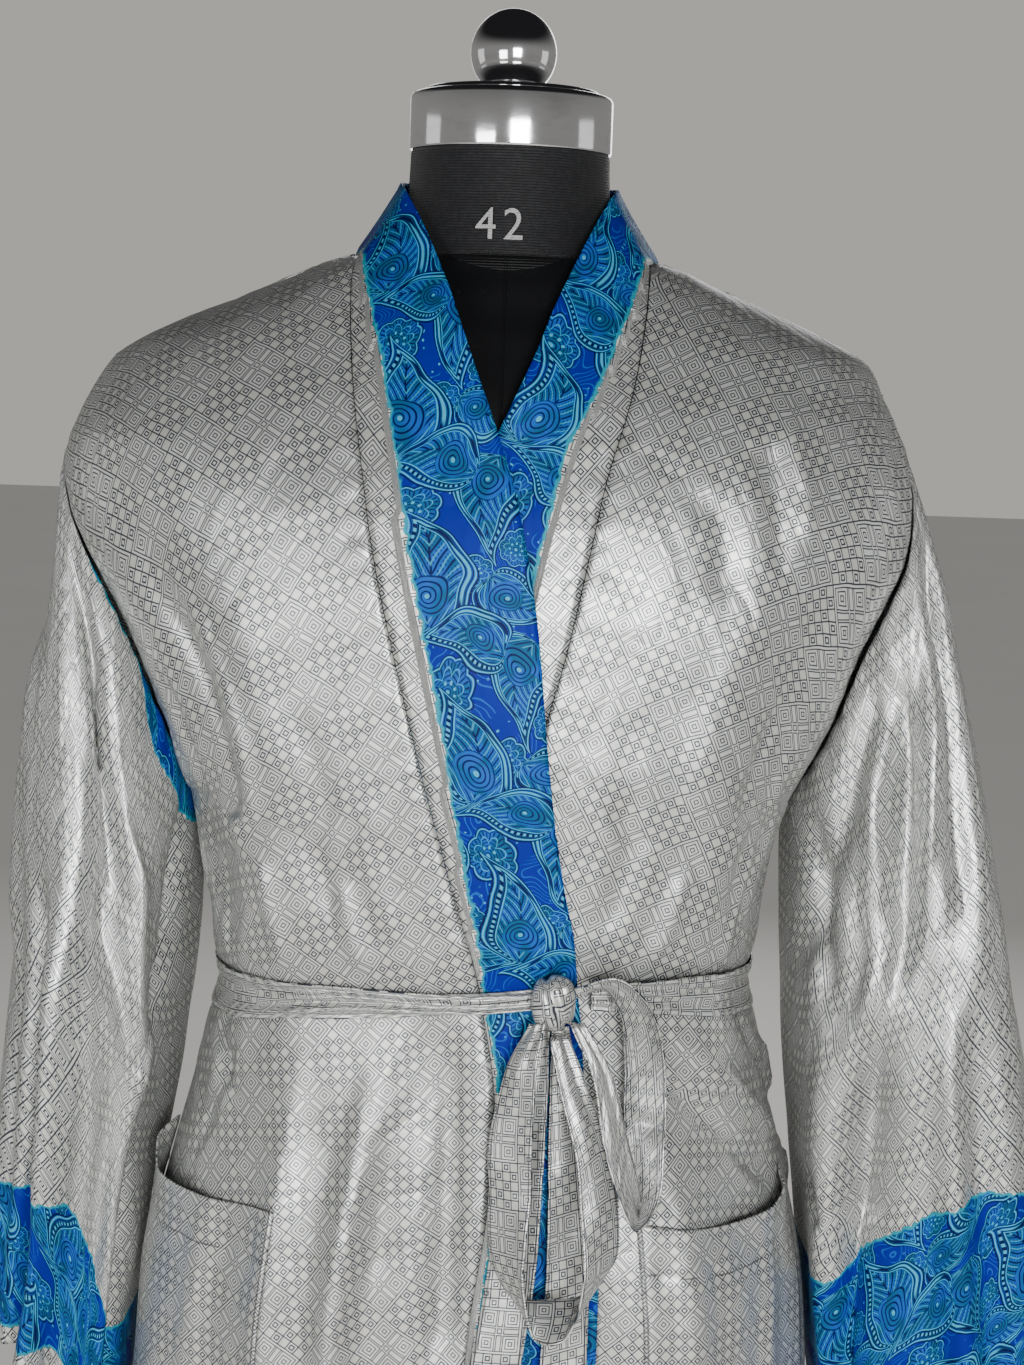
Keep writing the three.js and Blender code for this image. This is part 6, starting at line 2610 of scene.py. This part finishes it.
@dataclass
class Studio:
    """Pale floor, soft lights and the camera of the photograph."""

    lens: float = 51.4
    camera_place: Place = (0.012, -1.248, 1.388)
    pitch: float = 10.5
    roll: float = 1.95

    def camera(self) -> None:
        """Camera in front of the chest, tilted down and slightly rolled."""
        data = bpy.data.cameras.new("camera")
        data.lens = self.lens
        data.sensor_width = 36.0
        holder = add_object("camera", data)
        pitch, roll = math.radians(self.pitch), math.radians(self.roll)
        ahead = Vector((0, math.cos(pitch), -math.sin(pitch)))
        up = Vector((0, math.sin(pitch), math.cos(pitch)))
        right = Vector((1, 0, 0))
        across = right * math.cos(roll) + up * math.sin(roll)
        upright = up * math.cos(roll) - right * math.sin(roll)
        turn = Matrix((across, upright, -ahead)).transposed()
        holder.matrix_world = Matrix.Translation(self.camera_place) @ turn.to_4x4()
        bpy.context.scene.camera = holder

    def light(self, name: str, place: Place, target: Place, size: float, power: float) -> None:
        """Square soft light that faces a target.

        Args:
            name: The light's name.
            place: Where it stands.
            target: What it faces.
            size: Its side, in metres.
            power: Its power, in watts.
        """
        data = bpy.data.lights.new(name, "AREA")
        data.size = size
        data.energy = power
        holder = add_object(name, data)
        aim = Vector(target) - Vector(place)
        holder.matrix_world = Matrix.Translation(place) @ aim.to_track_quat("-Z", "Y").to_matrix().to_4x4()

    def floor(self) -> None:
        """Plain pale floor."""
        shell = bmesh.new()
        bmesh.ops.create_grid(shell, x_segments=1, y_segments=1, size=14.0)
        mesh = mesh_of(shell, "floor")
        piece = add_object("floor", mesh)
        material, n, shader = new_material("floor")
        place = n.add("ShaderNodeTexCoord").outputs["Object"]
        tone = n.blend(n.noise(place, 1.5, 2.0), (0.62, 0.60, 0.57, 1.0), (0.66, 0.64, 0.61, 1.0))
        n.feed(shader.inputs["Base Color"], tone)
        n.feed(shader.inputs["Emission Color"], tone)
        settle(shader, {"Roughness": 0.9, "Emission Strength": 0.3})
        mesh.materials.append(material)

    def build(self) -> None:
        """Sets the stage."""
        self.floor()
        self.light("key", (0.5, -2.75, 1.35), (0, 0, 1.05), 1.0, 74)
        self.light("fill", (-1.3, -2.5, 1.1), (0, 0, 1.05), 1.0, 27)
        self.light("back", (0.3, 2.9, 1.7), (0, 0, 0.9), 1.6, 24)
        self.light("side", (2.9, 0.2, 1.3), (0, 0, 0.9), 1.2, 3)
        self.light("other_side", (-2.9, 0.4, 1.3), (0, 0, 0.9), 1.2, 3)
        self.world()
        self.camera()

    def world(self) -> None:
        """Grey surroundings that darken overhead."""
        world = bpy.data.worlds.new("studio")
        world.use_nodes = True
        world.node_tree.nodes.clear()
        n = Nodes(world.node_tree)
        seen = n.add("ShaderNodeLightPath").outputs["Is Camera Ray"]
        _, _, rise = n.split(n.add("ShaderNodeTexCoord").outputs["Generated"])
        tone = n.blend(n.mask(rise, 0.12, 0.6), (0.34, 0.335, 0.325, 1.0), (0.02, 0.02, 0.022, 1.0))
        background = n.add("ShaderNodeBackground")
        n.feed(background.inputs["Color"], n.blend(seen, tone, (0.62, 0.60, 0.56, 1.0)))
        background.inputs["Strength"].default_value = 0.72
        output = n.add("ShaderNodeOutputWorld")
        n.feed(output.inputs["Surface"], background.outputs[0])
        bpy.context.scene.world = world


def main() -> None:
    """Builds the form, the robe and the stage in order."""
    logging.basicConfig(level=logging.INFO, format="%(message)s")
    finishes = Finishes.make()
    DressForm().build(finishes)
    BackPanel().build(finishes)
    FrontPanel(RIGHT, overlap_lift, grain_above=-34.0, grain_below=-38.0, seed=3).build(finishes)
    FrontPanel(LEFT, flat, grain_above=25.0, grain_below=43.0, seed=4).build(finishes)
    Neckband(RIGHT, overlap_lift, SmoothTable(STRIP_COLUMNS, STRIP_ROWS_RIGHT), grain=-30.0).build(finishes)
    Neckband(LEFT, flat, SmoothTable(STRIP_COLUMNS, STRIP_ROWS_LEFT), grain=27.0).build(finishes)
    Sleeve(RIGHT, grain=25.0, patch=True, seed=5).build(finishes)
    Sleeve(LEFT, grain=-23.0, cuff=146.0, seed=6).build(finishes)
    Pocket(RIGHT, overlap_lift, -30, -74, gape=11, rise=20, sag=4, grain=-42.0).build(finishes)
    Pocket(LEFT, flat, 24, 69, gape=9, rise=6, sag=9, grain=44.0).build(finishes)
    Belt().build(finishes)
    Studio().build()


if __name__ == "__main__":
    main()
